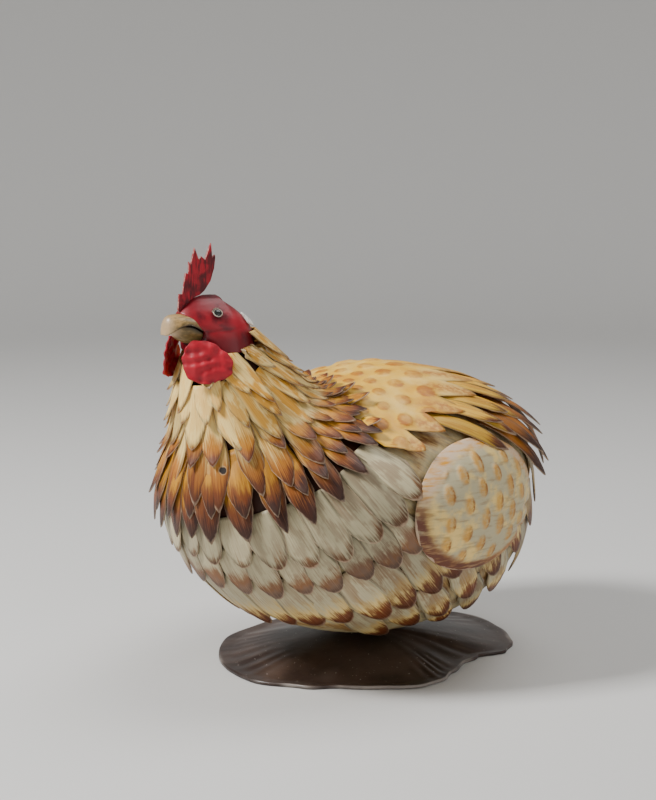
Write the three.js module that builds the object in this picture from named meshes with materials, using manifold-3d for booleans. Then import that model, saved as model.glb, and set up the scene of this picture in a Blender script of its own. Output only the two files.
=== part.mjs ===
// Painted sheet-metal hen on a domed leaf-shaped foot plate.
// Millimetres, +Z up. The hen faces -Y and its left side is +X.
// The origin is on the ground, under the middle of the whole figure.
import * as THREE from 'three';
import { mergeVertices } from 'three/addons/utils/BufferGeometryUtils.js';
import Module from 'manifold-3d';

const wasm = await Module();
wasm.setup();

// Shared gaps and sheet thicknesses
const gap = 0.35;
const featherSheet = 1.2;
const featherSeat = 1.2;
const combSheet = 2.0;
const wattleSheet = 1.6;
const plateSheet = 2.6;

// Foot plate
const plateSetBack = 17;
const plateCrown = 23;
const plateRimShare = 0.92;
const plateRimTop = 3.2;
// Outline as a direction in degrees (0 is the hen's left, 90 is rearward) and a reach
const plateEdge = [
  [-166, 122], [-141, 130], [-104, 134], [-88, 134], [-67, 121], [-52, 110], [-34, 110], [-17, 115],
  [-5, 111], [8, 101], [24, 96], [37, 103], [48, 128], [58, 137], [76, 142], [92, 147], [112, 141],
  [135, 129], [160, 121],
];

// Egg-shaped body, measured from its widest level
const eggHalfWidth = 135;
const eggFront = 176;
const eggBack = 169;
const eggRise = 100;
const eggDrop = 136;
const eggShearBack = 24;
const eggSquareness = 0.25;
// The back dips toward the shoulders, from a place behind the middle and over a length
const shoulderDip = 9;
const shoulderStart = 50;
const shoulderLength = 80;
const eggY = 8.5;
const eggZ = plateCrown + gap + eggDrop;

// Neck cone, from the head's seat down into the breast
const neckTopForward = 152;
const neckTopRise = 148.5;
const neckTopRadius = 23;
const neckLean = 42;
const neckLowForward = neckTopForward - neckLean;
const neckLowRise = 50.5;
const neckLowRadius = 68;
const neckFadeStart = 90;
const neckFadeLength = 130;
const neckBlend = 24;
const shellSink = 0.6;
const headSeatDrop = 16;
const neckTopY = eggY - neckTopForward;
const neckTopZ = eggZ + neckTopRise;
const neckLowY = eggY - neckLowForward;
const neckLowZ = eggZ + neckLowRise;
const headSeatZ = neckTopZ - headSeatDrop;

// Heart: the point that every feather ring is measured from, with its pole through the head
const heartForward = 30;
const heartRise = 10.5;
const poleForward = 6;
const poleRise = 2;
const heart = new THREE.Vector3(0, eggY - heartForward, eggZ + heartRise);
const poleLine = new THREE.Vector3(0, neckTopY - poleForward, neckTopZ + poleRise).sub(heart);
const pole = poleLine.clone().normalize();
const across = new THREE.Vector3(1, 0, 0);
const towardNape = new THREE.Vector3().crossVectors(pole, across);

// Head, stacked in level sections above its seat: height, front, back, half width
const headSetBack = 4;
const headY = neckTopY + headSetBack;
const headSections = [
  { up: 0, front: 27, back: 33, half: 33 },
  { up: 8, front: 29, back: 32.5, half: 31.5 },
  { up: 16, front: 34, back: 31, half: 29 },
  { up: 24, front: 38.5, back: 25.5, half: 25.5 },
  { up: 30, front: 37, back: 19, half: 22 },
  { up: 36, front: 31.5, back: 10.5, half: 17 },
  { up: 40.5, front: 25, back: 1.5, half: 12 },
  { up: 43.5, front: 19, back: -6, half: 6.5 },
];
const headHeight = 45;
const crownForward = 12;
const headTaper = 0.16;

// Beak
const gapeForward = 22;
const gapeUp = 16.5;
const beakLength = 29;
const beakHeight = 14.5;
const beakHalfWidth = 17;
const beakArch = 6.2;
const lowerBeakLength = 22;
const lowerBeakDepth = 10.5;
const lowerBeakInset = 1.5;

// Comb, wattles, eyes and ear tabs
const combHeight = 42;
const combBaseRear = 15;
const combBaseFront = 35.5;
const wattleOut = 25.5;
const wattleForward = 27;
const wattleDrop = 6.5;
const wattleHalfLength = 21;
const wattleHalfWidth = 17;
const eyeRadius = 4.6;
const eyeProud = 2.4;
const eyeTurn = 72;
const eyeUp = 31;
const earTabTurn = 122;
const earTabSweep = 22;
const earTabUp = 25;
const earTabFall = 6;
const earTabWidth = 8;
const earTabStandoff = 1.9;

// Wing shell: a domed oval sheet on each flank, with lobes along its rear edge
const wingY = eggY + 30;
const wingZ = eggZ - 3;
const wingHalfLength = 76;
const wingHalfHeight = 53;
const wingSlots = [-37, -13];
const wingSlotDepth = 0.1;
const wingSlotWidth = 4;
const wingRimLift = 5.4;
const wingDome = 9;

// Paint
const paint = {
  cream: [0xe2d6b4, 0.55],
  ochre: [0xc98f3e, 0.55],
  brown: [0x7a4423, 0.5],
  skin: [0xcfc6ae, 0.6],
  saddle: [0xdca95e, 0.55],
  red: [0xa81b1e, 0.42],
  beak: [0xb89a68, 0.5],
  eye: [0xc9c4ba, 0.3],
  plate: [0x33231d, 0.4],
};

function material(name) {
  const [color, roughness] = paint[name];
  return new THREE.MeshStandardMaterial({ color, roughness, metalness: 0.1 });
}

const degrees = Math.PI / 180;
const clamp01 = (x) => Math.min(1, Math.max(0, x));
const mix = (a, b, t) => a + (b - a) * t;
const ease = (t) => 0.5 - 0.5 * Math.cos(Math.PI * clamp01(t));

// The skin: the egg and the neck cone blended into one closed form

// Roughly how far a point is outside the egg
function eggField(p) {
  const z = p.z - eggZ;
  const below = clamp01(-z / eggDrop);
  const y = p.y - eggY - eggShearBack * below ** 1.5;
  const power = 2 + eggSquareness * clamp01(y / eggBack);
  const length = y < 0 ? eggFront : eggBack;
  const shoulder = shoulderDip * ease((shoulderStart - y) / shoulderLength);
  const height = z < 0 ? eggDrop : eggRise - shoulder;
  const sum = Math.abs(p.x / eggHalfWidth) ** power
    + Math.abs(y / length) ** power
    + Math.abs(z / height) ** power;
  return (Math.max(sum, 1e-9) ** (1 / power) - 1) * eggHalfWidth;
}

const neckTop = new THREE.Vector3(0, neckTopY, neckTopZ);
const neckAxis = new THREE.Vector3(0, neckLowY, neckLowZ).sub(neckTop);
const neckLength = neckAxis.length();
neckAxis.normalize();

// Roughly how far a point is outside the neck cone, which is cut level at the head's seat and
// closes again inside the breast
function neckField(p) {
  const q = p.clone().sub(neckTop);
  const along = q.dot(neckAxis);
  const away = q.addScaledVector(neckAxis, -along).length();
  const slope = (neckLowRadius - neckTopRadius) / neckLength;
  const wall = (away - neckTopRadius - slope * along) / Math.hypot(1, slope);
  const fade = Math.max(0, along - neckFadeStart) ** 2 / neckFadeLength;
  return Math.max(wall + fade, p.z - headSeatZ);
}

function skinField(p) {
  const a = eggField(p);
  const b = neckField(p);
  const h = clamp01(0.5 + 0.5 * (b - a) / neckBlend);
  return mix(b, a, h) - neckBlend * h * (1 - h);
}

// Longer than any ray from inside the skin to its outside
const rayLength = 2 * (eggFront + eggBack);

// Where a ray from a point first leaves the skin
function leaveSkin(from, direction, reach) {
  let inside = 0;
  let outside = reach;
  for (let step = 0; step < 34; step += 1) {
    const middle = (inside + outside) / 2;
    if (skinField(from.clone().addScaledVector(direction, middle)) > 0) outside = middle;
    else inside = middle;
  }
  return from.clone().addScaledVector(direction, inside);
}

function skinNormal(p) {
  const step = 0.5;
  const slopeAlong = (axis) => {
    const ahead = p.clone();
    const behind = p.clone();
    ahead[axis] += step;
    behind[axis] -= step;
    return skinField(ahead) - skinField(behind);
  };
  return new THREE.Vector3(slopeAlong('x'), slopeAlong('y'), slopeAlong('z')).normalize();
}

// A point over the skin. theta runs from the head (0) to the vent (180), and phi round the
// pole, from the nape (0) by the hen's left flank (90) to the breast (180).
function overSkin(theta, phi, lift) {
  const t = theta * degrees;
  const f = phi * degrees;
  const direction = pole.clone().multiplyScalar(Math.cos(t))
    .addScaledVector(towardNape, Math.sin(t) * Math.cos(f))
    .addScaledVector(across, Math.sin(t) * Math.sin(f));
  const p = leaveSkin(heart, direction, rayLength);
  return p.addScaledVector(skinNormal(p), lift);
}

// Mesh building

function meshOf(name, paintName, positions, triangles) {
  const geometry = new THREE.BufferGeometry();
  const flat = positions.flatMap((p) => [p.x, p.y, p.z]);
  let volume = 0;
  for (const [a, b, c] of triangles) {
    volume += positions[a].dot(new THREE.Vector3().crossVectors(positions[b], positions[c]));
  }
  const outward = volume > 0 ? triangles : triangles.map(([a, b, c]) => [a, c, b]);
  geometry.setAttribute('position', new THREE.Float32BufferAttribute(flat, 3));
  geometry.setIndex(outward.flat());
  geometry.computeVertexNormals();
  const mesh = new THREE.Mesh(geometry, material(paintName));
  mesh.name = name;
  return mesh;
}

// Quads between two rows of vertex numbers
function strip(triangles, low, high, wrap) {
  const count = low.length;
  for (let j = 0; j < (wrap ? count : count - 1); j += 1) {
    const k = (j + 1) % count;
    triangles.push([low[j], low[k], high[k]], [low[j], high[k], high[j]]);
  }
}

function fan(triangles, tip, ring) {
  ring.forEach((vertex, j) => triangles.push([tip, ring[(j + 1) % ring.length], vertex]));
}

// A closed form from level rings and a point at each end
function ringSolid(name, paintName, startPoint, rings, endPoint) {
  const positions = [startPoint];
  const triangles = [];
  const rows = rings.map((ring) => ring.map((p) => positions.push(p) - 1));
  fan(triangles, 0, rows[0].slice().reverse());
  for (let i = 0; i + 1 < rows.length; i += 1) strip(triangles, rows[i + 1], rows[i], true);
  const end = positions.push(endPoint) - 1;
  fan(triangles, end, rows[rows.length - 1]);
  return meshOf(name, paintName, positions, triangles);
}

// A sheet with thickness from an outer and an inner grid of the same size. Both are cut along
// the same diagonals, so a twisted sheet never runs through itself. A sheet with a middle
// starts from one point on each side instead of an edge.
function sheetSolid(name, paintName, outer, inner, { wrap = false, middle = false } = {}) {
  const positions = [];
  const triangles = [];
  const lining = [];
  const number = (grid) => grid.map((row) => row.map((p) => positions.push(p) - 1));
  const top = number(outer);
  const under = number(inner);
  const last = top.length - 1;
  const first = middle ? 1 : 0;
  for (let i = first; i < last; i += 1) {
    strip(triangles, top[i], top[i + 1], wrap);
    strip(lining, under[i], under[i + 1], wrap);
  }
  triangles.push(...lining.map(([a, b, c]) => [a, c, b]));
  strip(triangles, top[last], under[last], wrap);
  if (middle) {
    fan(triangles, top[0][0], top[1]);
    fan(triangles, under[0][0], under[1].slice().reverse());
  } else {
    strip(triangles, under[0], top[0], wrap);
  }
  if (!wrap) {
    const side = (grid, j) => grid.map((row) => row[j]);
    const far = top[0].length - 1;
    strip(triangles, side(top, 0), side(under, 0), false);
    strip(triangles, side(under, far), side(top, far), false);
  }
  return meshOf(name, paintName, positions, triangles);
}

function toManifold(geometry) {
  const bare = geometry.clone();
  bare.deleteAttribute('normal');
  if (bare.getAttribute('uv')) bare.deleteAttribute('uv');
  const merged = mergeVertices(bare, 1e-4);
  return new wasm.Manifold(new wasm.Mesh({
    numProp: 3,
    vertProperties: new Float32Array(merged.getAttribute('position').array),
    triVerts: new Uint32Array(merged.getIndex().array),
  }));
}

function fromManifold(solid) {
  const { vertProperties, triVerts } = solid.getMesh();
  const geometry = new THREE.BufferGeometry();
  geometry.setAttribute('position', new THREE.BufferAttribute(new Float32Array(vertProperties), 3));
  geometry.setIndex(Array.from(triVerts));
  geometry.computeVertexNormals();
  return geometry;
}

// A prism across the whole figure, from an outline in the plane of symmetry
function sagittalPrism(outline, halfWidth) {
  const shape = new THREE.Shape(outline.map(([y, z]) => new THREE.Vector2(y, z)));
  const geometry = new THREE.ExtrudeGeometry(shape, { depth: 2 * halfWidth, bevelEnabled: false });
  const turn = new THREE.Matrix4().makeBasis(
    new THREE.Vector3(0, 1, 0),
    new THREE.Vector3(0, 0, 1),
    new THREE.Vector3(1, 0, 0),
  );
  turn.setPosition(-halfWidth, 0, 0);
  return geometry.applyMatrix4(turn);
}

// Body and head

function body() {
  const around = 20;
  const rings = [];
  for (const theta of [6, 9.5, 16, 22, 28, 34, 40, 46, 56, 72, 90, 108, 126, 144, 162]) {
    const ring = [];
    for (let j = 0; j < around; j += 1) ring.push(overSkin(theta, (360 * j) / around, -shellSink));
    rings.push(ring);
  }
  return ringSolid('body', 'skin', overSkin(0, 0, -shellSink), rings, overSkin(180, 0, -shellSink));
}

const headBottom = headSeatZ + gap;
const gapeY = headY - gapeForward;
const gapeZ = headBottom + gapeUp;

// The front of the head is cut away where the two halves of the beak sit: upright behind the
// lower half, and sloping forward over the upper half
const cutAbove = 41;
const cutSlope = 36;
const cutAhead = 60;

function beakSpace() {
  return [
    [gapeY, gapeZ],
    [gapeY, gapeZ - lowerBeakDepth],
    [gapeY - cutAhead, gapeZ - lowerBeakDepth],
    [gapeY - cutAhead, gapeZ + cutAbove],
    [gapeY - cutSlope, gapeZ + cutAbove],
  ];
}

// Everything behind that cut, standing a gap clear of it
function behindBeak() {
  return [
    [gapeY - gap, gapeZ - lowerBeakDepth],
    [gapeY - gap, gapeZ],
    [gapeY - cutSlope - gap, gapeZ + cutAbove],
    [gapeY + cutAhead, gapeZ + cutAbove],
    [gapeY + cutAhead, gapeZ - lowerBeakDepth],
  ];
}

function head() {
  const around = 16;
  const rings = headSections.map(({ up, front, back, half }) => {
    const ring = [];
    for (let j = 0; j < around; j += 1) {
      const turn = (2 * Math.PI * j) / around;
      const forward = Math.cos(turn);
      const taper = 1 - headTaper * clamp01(forward);
      const y = forward > 0 ? -front * forward : -back * forward;
      ring.push(new THREE.Vector3(half * Math.sin(turn) * taper, headY + y, headBottom + up));
    }
    return ring;
  });
  const seatMiddle = new THREE.Vector3(0, headY, headBottom);
  const crown = new THREE.Vector3(0, headY - crownForward, headBottom + headHeight);
  const solid = ringSolid('head', 'red', seatMiddle, rings, crown);
  const cut = toManifold(solid.geometry).subtract(toManifold(sagittalPrism(beakSpace(), cutAhead)));
  solid.geometry = fromManifold(cut);
  return solid;
}

// A beak half is a stack of arched sections from the gape to the tip
function beakHalf(name, sections) {
  const facets = 8;
  const rings = sections.map(({ y, half, edge, ridge }) => {
    const ring = [];
    for (let j = 0; j <= facets; j += 1) {
      const turn = (Math.PI * j) / facets;
      ring.push(new THREE.Vector3(half * Math.cos(turn), y, edge + (ridge - edge) * Math.sin(turn)));
    }
    return ring;
  });
  const middleOf = ({ y, edge, ridge }) => new THREE.Vector3(0, y, (edge + ridge) / 2);
  return ringSolid(name, 'beak', middleOf(sections[0]), rings, middleOf(sections[sections.length - 1]));
}

// Height of the line between the two halves over the gape, from the gape (0) to the tip (1)
function beakLine(s) {
  return beakArch * Math.sin((Math.PI * s ** 1.1) / 0.9);
}

function beakUpper() {
  const sections = [0, 0.22, 0.44, 0.64, 0.8, 0.92, 0.98, 1].map((s) => ({
    y: gapeY - beakLength * s,
    half: beakHalfWidth * Math.sqrt(1 - 0.96 * s ** 1.8),
    edge: gapeZ + gap + beakLine(s),
    ridge: gapeZ + gap + beakHeight * Math.max(0.1, Math.sqrt(1 - s ** 11)),
  }));
  const upper = beakHalf('beak_upper', sections);
  const behind = toManifold(sagittalPrism(behindBeak(), cutAhead));
  upper.geometry = fromManifold(toManifold(upper.geometry).subtract(behind));
  return upper;
}

function beakLower() {
  const sections = [0, 0.25, 0.5, 0.75, 0.92, 1].map((s) => ({
    y: gapeY - gap - lowerBeakLength * s,
    half: (beakHalfWidth - lowerBeakInset) * Math.sqrt(1 - 0.9 * s ** 1.8),
    edge: gapeZ - gap + beakLine((lowerBeakLength * s) / beakLength),
    ridge: gapeZ - (lowerBeakDepth - gap) * (1 - s ** 2.4),
  }));
  return beakHalf('beak_lower', sections);
}

// How high the head stands over a place in the plane of symmetry
function headTop(y) {
  const forward = headY - y;
  for (let i = headSections.length - 1; i >= 0; i -= 1) {
    const low = headSections[i];
    if (forward <= low.front) {
      const high = headSections[i + 1] ?? { up: headHeight, front: crownForward };
      return headBottom + mix(high.up, low.up, clamp01((forward - high.front) / (low.front - high.front)));
    }
  }
  return gapeZ;
}

// Comb: spiky teeth up the front and a plain rear edge, leaning back. Each point is forward of
// the head's middle and above the crown, as a share of the comb's height.
const combOutline = [
  [0.87, -0.24], [0.84, 0.06], [0.76, 0.05], [0.68, 0.46], [0.61, 0.42], [0.6, 0.67],
  [0.56, 0.6], [0.46, 0.93], [0.36, 0.68], [0.31, 0.76], [0.22, 0.68], [0.07, 1.0],
  [0.045, 0.71], [-0.02, 0.77], [-0.03, 0.69], [0, 0.5], [0.09, 0.26], [0.24, 0.08],
];

function comb() {
  const base = [0, 0.2, 0.4, 0.6, 0.8, 1].map((share) => {
    const y = headY - mix(combBaseRear, combBaseFront, share);
    return [y, headTop(y) + 2 * gap];
  });
  const crownZ = headBottom + headHeight;
  const free = combOutline.map(([forward, up]) => [headY - forward * combHeight, crownZ + up * combHeight]);
  const mesh = new THREE.Mesh(sagittalPrism([...base, ...free], combSheet / 2), material('red'));
  mesh.name = 'comb';
  return mesh;
}

// Pieces that come in pairs are made on the left (+X) and mirrored
function mirrored(point, side) {
  return new THREE.Vector3(point.x * side, point.y, point.z);
}

const sides = { left: 1, right: -1 };

function wattle(sideName) {
  const side = sides[sideName];
  const middle = new THREE.Vector3(wattleOut, headY - wattleForward, headBottom - wattleDrop);
  const rearward = new THREE.Vector3(0.6, 0.75, -0.35).normalize();
  const down = new THREE.Vector3(-0.1, -0.36, -0.93).normalize();
  const outwardWay = new THREE.Vector3().crossVectors(down, rearward).normalize();
  const around = 12;
  const layer = (raise) => [0, 0.6, 1].map((share) => {
    const ring = [];
    for (let j = 0; j < around; j += 1) {
      const turn = (2 * Math.PI * j) / around;
      const wave = 1 + 0.06 * Math.cos(3 * turn + 0.6);
      const p = middle.clone()
        .addScaledVector(rearward, wattleHalfLength * share * wave * Math.cos(turn))
        .addScaledVector(down, wattleHalfWidth * share * wave * Math.sin(turn))
        .addScaledVector(outwardWay, raise - 2.2 * share ** 2);
      ring.push(mirrored(p, side));
    }
    return ring;
  });
  const name = `wattle_${sideName}`;
  return sheetSolid(name, 'red', layer(wattleSheet), layer(0), { wrap: true, middle: true });
}

// Where the head's wall stands at a level, and which way it faces
function onHead(turnDegrees, up) {
  const i = headSections.findIndex((section, k) => up <= headSections[k + 1]?.up);
  const low = headSections[i];
  const high = headSections[i + 1];
  const t = (up - low.up) / (high.up - low.up);
  const turn = turnDegrees * degrees;
  const reach = (key) => mix(low[key], high[key], t);
  const forward = Math.cos(turn);
  const y = forward > 0 ? -reach('front') * forward : -reach('back') * forward;
  const x = reach('half') * Math.sin(turn) * (1 - headTaper * clamp01(forward));
  return new THREE.Vector3(x, headY + y, headBottom + up);
}

function headFacing(turnDegrees, up) {
  const here = onHead(turnDegrees, up);
  const round = onHead(turnDegrees + 4, up).sub(here);
  const rise = onHead(turnDegrees, up + 2).sub(here);
  return new THREE.Vector3().crossVectors(round, rise).normalize();
}

function eye(sideName) {
  const profile = [[0, 0], [eyeRadius, 0], [eyeRadius, 0.6], [eyeRadius * 0.62, eyeProud * 0.75], [0, eyeProud]];
  const geometry = new THREE.LatheGeometry(profile.map(([r, h]) => new THREE.Vector2(r, h)), 8);
  const facing = mirrored(headFacing(eyeTurn, eyeUp), sides[sideName]);
  const place = mirrored(onHead(eyeTurn, eyeUp), sides[sideName]).addScaledVector(facing, 1.3);
  const mesh = new THREE.Mesh(geometry, material('eye'));
  mesh.quaternion.setFromUnitVectors(new THREE.Vector3(0, 1, 0), facing);
  mesh.position.copy(place);
  mesh.name = `eye_${sideName}`;
  return mesh;
}

// Small pale tab over the rear edge of the head sheet
function earTab(sideName) {
  const side = sides[sideName];
  const layer = (raise) => [0, 0.5, 1].map((along) => [-1, 0, 1].map((wide) => {
    const turn = earTabTurn + along * earTabSweep;
    const spread = wide * (1 - 0.5 * along ** 2);
    const up = earTabUp - along * earTabFall + (spread * earTabWidth) / 2;
    const p = onHead(turn, up).addScaledVector(headFacing(turn, up), earTabStandoff + raise);
    return mirrored(p, side);
  }));
  return sheetSolid(`ear_tab_${sideName}`, 'cream', layer(featherSheet), layer(0));
}

// Feather rows

// A ring value that goes smoothly from the nape over the flank to the breast
function ringValue({ nape, flank, breast }, phi) {
  const turn = Math.abs(((phi + 540) % 360) - 180);
  if (turn < 105) return mix(nape, flank, ease(turn / 105));
  return mix(flank, breast, ease((turn - 105) / 75));
}

// How far a feather's edge falls short of its tip, from its centre line (0) to its side (1)
const outlines = {
  lance: (w) => w ** 1.7,
  scallop: (w) => 1 - Math.sqrt(Math.max(0, 1 - w ** 2)),
};

// One row of overlapping feathers, cut from one sheet and laid round the skin. It lifts
// from its hidden root to its free tips, so that it clears the root of the next row, evenly
// where bend is 1 and mostly near the tips where it is more.
function featherRow(row) {
  const { name, paintName, count, columns, steps, from, to } = row;
  const { root, tip, notch, outline, rise, ridge, bend } = row;
  const wrap = to - from >= 360;
  const total = count * columns + (wrap ? 0 : 1);
  const layer = (raise) => {
    const grid = [];
    for (let i = 0; i <= steps; i += 1) {
      const line = [];
      for (let c = 0; c < total; c += 1) {
        const share = (c % columns) / columns;
        const wide = Math.abs(2 * share - 1);
        const phi = from + ((to - from) * c) / (count * columns);
        const rootTheta = ringValue(root, phi);
        const fullTheta = ringValue(tip, phi);
        const edgeTheta = fullTheta - notch * outlines[outline](wide);
        const theta = mix(rootTheta, edgeTheta, i / steps);
        const along = (theta - rootTheta) / (fullTheta - rootTheta);
        const lift = featherSeat + (ringValue(rise, phi) + ridge * (1 - wide)) * along ** bend;
        line.push(overSkin(theta, phi, lift + raise));
      }
      grid.push(line);
    }
    return grid;
  };
  return sheetSolid(name, paintName, layer(featherSheet), layer(0), { wrap });
}

// Rows in order from the head. A row's root hides under the row before it.
const lance = { outline: 'lance', columns: 4, ridge: 1.4, bend: 1 };
const scallop = { outline: 'scallop', columns: 3, ridge: 0, bend: 1 };
const fullRing = { from: 0, to: 360 };

// The angle from the pole of a place that lies so far out from it at the head
const besidePole = (reach) => Math.atan(reach / poleLine.length()) / degrees;
const ringBesidePole = ({ nape, flank, breast }) => (
  { nape: besidePole(nape), flank: besidePole(flank), breast: besidePole(breast) }
);
const firstRowRoot = ringBesidePole({ nape: 33.5, flank: 38.6, breast: 40.3 });

const hackleTips = [
  ringBesidePole({ nape: 50.8, flank: 67.2, breast: 65.3 }),
  ringBesidePole({ nape: 70.9, flank: 114, breast: 98.8 }),
  { nape: 25.5, flank: 51.5, breast: 47 },
  { nape: 31, flank: 66.5, breast: 60 },
];
const saddleTips = [
  { nape: 106, flank: 75, breast: 75 },
  { nape: 118, flank: 99, breast: 99 },
  { nape: 131, flank: 112, breast: 112 },
];
const breastTips = [
  { nape: 84, flank: 86.5, breast: 68 },
  { nape: 96, flank: 100, breast: 80 },
  { nape: 122, flank: 124, breast: 104 },
  { nape: 138, flank: 139, breast: 130 },
  { nape: 156, flank: 152, breast: 150 },
];

function before(tips, shift, napeShift = shift) {
  return { nape: tips.nape - napeShift, flank: tips.flank - shift, breast: tips.breast - shift };
}

const evenly = (value) => ({ nape: value, flank: value, breast: value });

const featherRows = [
  {
    name: 'hackle_row_1', paintName: 'cream', count: 12, steps: 1, notch: 4,
    rise: { nape: 5, flank: 7, breast: 5.5 },
    root: firstRowRoot, tip: hackleTips[0], ...fullRing, ...lance,
  },
  {
    name: 'hackle_row_2', paintName: 'cream', count: 16, steps: 1, notch: 5,
    rise: { nape: 4.4, flank: 6.5, breast: 9 },
    root: before(hackleTips[0], 3, 1.5), tip: hackleTips[1], ...fullRing, ...lance,
  },
  {
    name: 'hackle_row_3', paintName: 'ochre', count: 22, steps: 2, notch: 7,
    rise: { nape: 4, flank: 7, breast: 7 },
    root: before(hackleTips[1], 7, 3.5), tip: hackleTips[2], ...fullRing, ...lance,
  },
  {
    name: 'hackle_row_4', paintName: 'brown', count: 22, steps: 2, notch: 7,
    rise: { nape: 4, flank: 7, breast: 7 },
    root: before(hackleTips[2], 11, 3.5), tip: hackleTips[3], ...fullRing, ...lance,
  },
  {
    name: 'breast_row', paintName: 'skin', count: 18, steps: 2, notch: 5, rise: evenly(4.8),
    from: 92, to: 268, root: before(hackleTips[3], 10), tip: breastTips[0], ...scallop,
  },
  {
    name: 'belly_row_1', paintName: 'skin', count: 16, steps: 1, notch: 4, rise: evenly(4),
    from: 104, to: 256, root: before(breastTips[0], 6), tip: breastTips[1], ...scallop,
  },
  {
    name: 'belly_row_2', paintName: 'ochre', count: 16, steps: 2, notch: 5, rise: evenly(3.4),
    from: 97, to: 263, root: before(breastTips[1], 5), tip: breastTips[2], ...scallop,
  },
  {
    name: 'fluff_row_1', paintName: 'ochre', count: 16, steps: 2, notch: 5, rise: evenly(4.6),
    from: -140, to: 140, root: before(breastTips[2], 5), tip: breastTips[3], ...scallop,
  },
  {
    name: 'fluff_row_2', paintName: 'skin', count: 10, steps: 2, notch: 5, rise: evenly(3.2),
    from: -112, to: 112, root: before(breastTips[3], 5), tip: breastTips[4], ...scallop,
  },
  {
    name: 'saddle_sheet', paintName: 'saddle', count: 12, steps: 6, notch: 9, rise: evenly(6),
    from: -84, to: 84, root: before(hackleTips[3], 11, 4), tip: saddleTips[0], ...lance,
    columns: 3, bend: 2,
  },
  {
    name: 'saddle_row', paintName: 'saddle', count: 10, steps: 2, notch: 9, rise: evenly(10),
    from: -55, to: 55, root: before(saddleTips[0], 14), tip: saddleTips[1], ...lance,
  },
  {
    name: 'tail_row', paintName: 'brown', count: 9, steps: 2, notch: 10, rise: evenly(15),
    from: -48, to: 48, root: before(saddleTips[1], 12), tip: saddleTips[2], ...lance,
  },
];

// A short row over the rear of the head, from its wall down to the first ring's tips
const napeRow = { count: 5, from: -56, to: 56, columns: 4, steps: 2 };
const napeRowUp = 14.5;
const napeRowStandoff = 1.9;
const napeRowReach = 49.1;
const napeRowNotch = 2;
const napeRowLift = 7.5;
const napeRowRidge = 1.4;

function napeFeathers() {
  const { count, from, to, columns, steps } = napeRow;
  const layer = (raise) => {
    const grid = [];
    for (let i = 0; i <= steps; i += 1) grid.push([]);
    for (let c = 0; c <= count * columns; c += 1) {
      const phi = from + ((to - from) * c) / (count * columns);
      const wide = Math.abs(2 * ((c % columns) / columns) - 1);
      const turn = 180 - phi;
      const root = onHead(turn, napeRowUp)
        .addScaledVector(headFacing(turn, napeRowUp), napeRowStandoff + raise);
      const theta = besidePole(napeRowReach) - napeRowNotch * outlines.lance(wide);
      const tip = overSkin(theta, phi, napeRowLift + napeRowRidge * (1 - wide) + raise);
      for (let i = 0; i <= steps; i += 1) grid[i].push(root.clone().lerp(tip, i / steps));
    }
    return grid;
  };
  return sheetSolid('nape_row', 'cream', layer(featherSheet), layer(0));
}

// Wing

function flankX(y, z) {
  return leaveSkin(new THREE.Vector3(0, y, z), across, rayLength);
}

// How far the wing's rim reaches in each direction, in shares of its oval. Turn 0 is rearward
// and a quarter turn is up; slots between the rear lobes cut back into the oval.
function wingReach(turn) {
  const slots = wingSlots.map((slot) => wingSlotDepth * Math.exp(-(((turn - slot) / wingSlotWidth) ** 2)));
  return 1 - Math.max(...slots);
}

function wing(sideName) {
  const side = sides[sideName];
  const turns = [];
  for (let turn = -55; turn < 305; turn += turn < 5 ? 6 : 15) turns.push(turn);
  const layer = (raise) => [0, 0.45, 0.8, 1].map((share) => turns.map((turn) => {
    const reach = share * mix(1, wingReach(turn), share ** 4);
    const y = wingY + wingHalfLength * reach * Math.cos(turn * degrees);
    const z = wingZ + wingHalfHeight * reach * Math.sin(turn * degrees);
    const p = flankX(y, z);
    const dome = wingDome * (1 - share ** 2.6);
    p.addScaledVector(skinNormal(p), wingRimLift + dome + raise);
    return mirrored(p, side);
  }));
  return sheetSolid(`wing_${sideName}`, 'cream', layer(featherSheet), layer(0), { wrap: true, middle: true });
}

// Foot plate: a thin dome with a leaf-like outline, standing on a flat rim

// How far the plate reaches in a direction, between 0 and 360 degrees
function plateReach(turn) {
  const count = plateEdge.length;
  for (let k = 0; k < count; k += 1) {
    const [start, reach] = plateEdge[k];
    const [next, nextReach] = plateEdge[(k + 1) % count];
    const span = (next - start + 360) % 360;
    const past = (turn - start + 360) % 360;
    if (past < span) return mix(reach, nextReach, ease(past / span));
  }
  return plateEdge[0][1];
}

function footPlate() {
  const around = 36;
  const layer = (under) => [0, 0.3, 0.65, plateRimShare, 1].map((share) => {
    const ring = [];
    for (let j = 0; j < around; j += 1) {
      const turn = (360 * j) / around;
      const reach = share * plateReach(turn);
      const inward = clamp01(share / plateRimShare);
      const top = plateRimTop + (plateCrown - plateRimTop) * (1 - inward ** 2) ** 1.25;
      const height = share >= plateRimShare ? plateRimTop * (under ? 0 : 1) : top - (under ? plateSheet : 0);
      ring.push(new THREE.Vector3(
        reach * Math.cos(turn * degrees),
        eggY + plateSetBack + reach * Math.sin(turn * degrees),
        height,
      ));
    }
    return ring;
  });
  return sheetSolid('foot_plate', 'plate', layer(false), layer(true), { wrap: true, middle: true });
}

const hen = new THREE.Group();
hen.add(footPlate(), body(), head(), beakUpper(), beakLower(), comb());
for (const sideName of Object.keys(sides)) {
  hen.add(wattle(sideName), eye(sideName), earTab(sideName), wing(sideName));
}
hen.add(napeFeathers());
for (const row of featherRows) hen.add(featherRow(row));

// The figure stands with the middle of its box over the origin
const extent = new THREE.Box3().setFromObject(hen);
hen.position.y = -(extent.min.y + extent.max.y) / 2;

export default hen;
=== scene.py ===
"""Painted sheet-metal hen on a leaf-shaped foot plate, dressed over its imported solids.

Metres, +Z up. The hen faces -Y and its left side is +X. The origin is on the ground, under the
middle of the whole figure.
"""

import math

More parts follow.
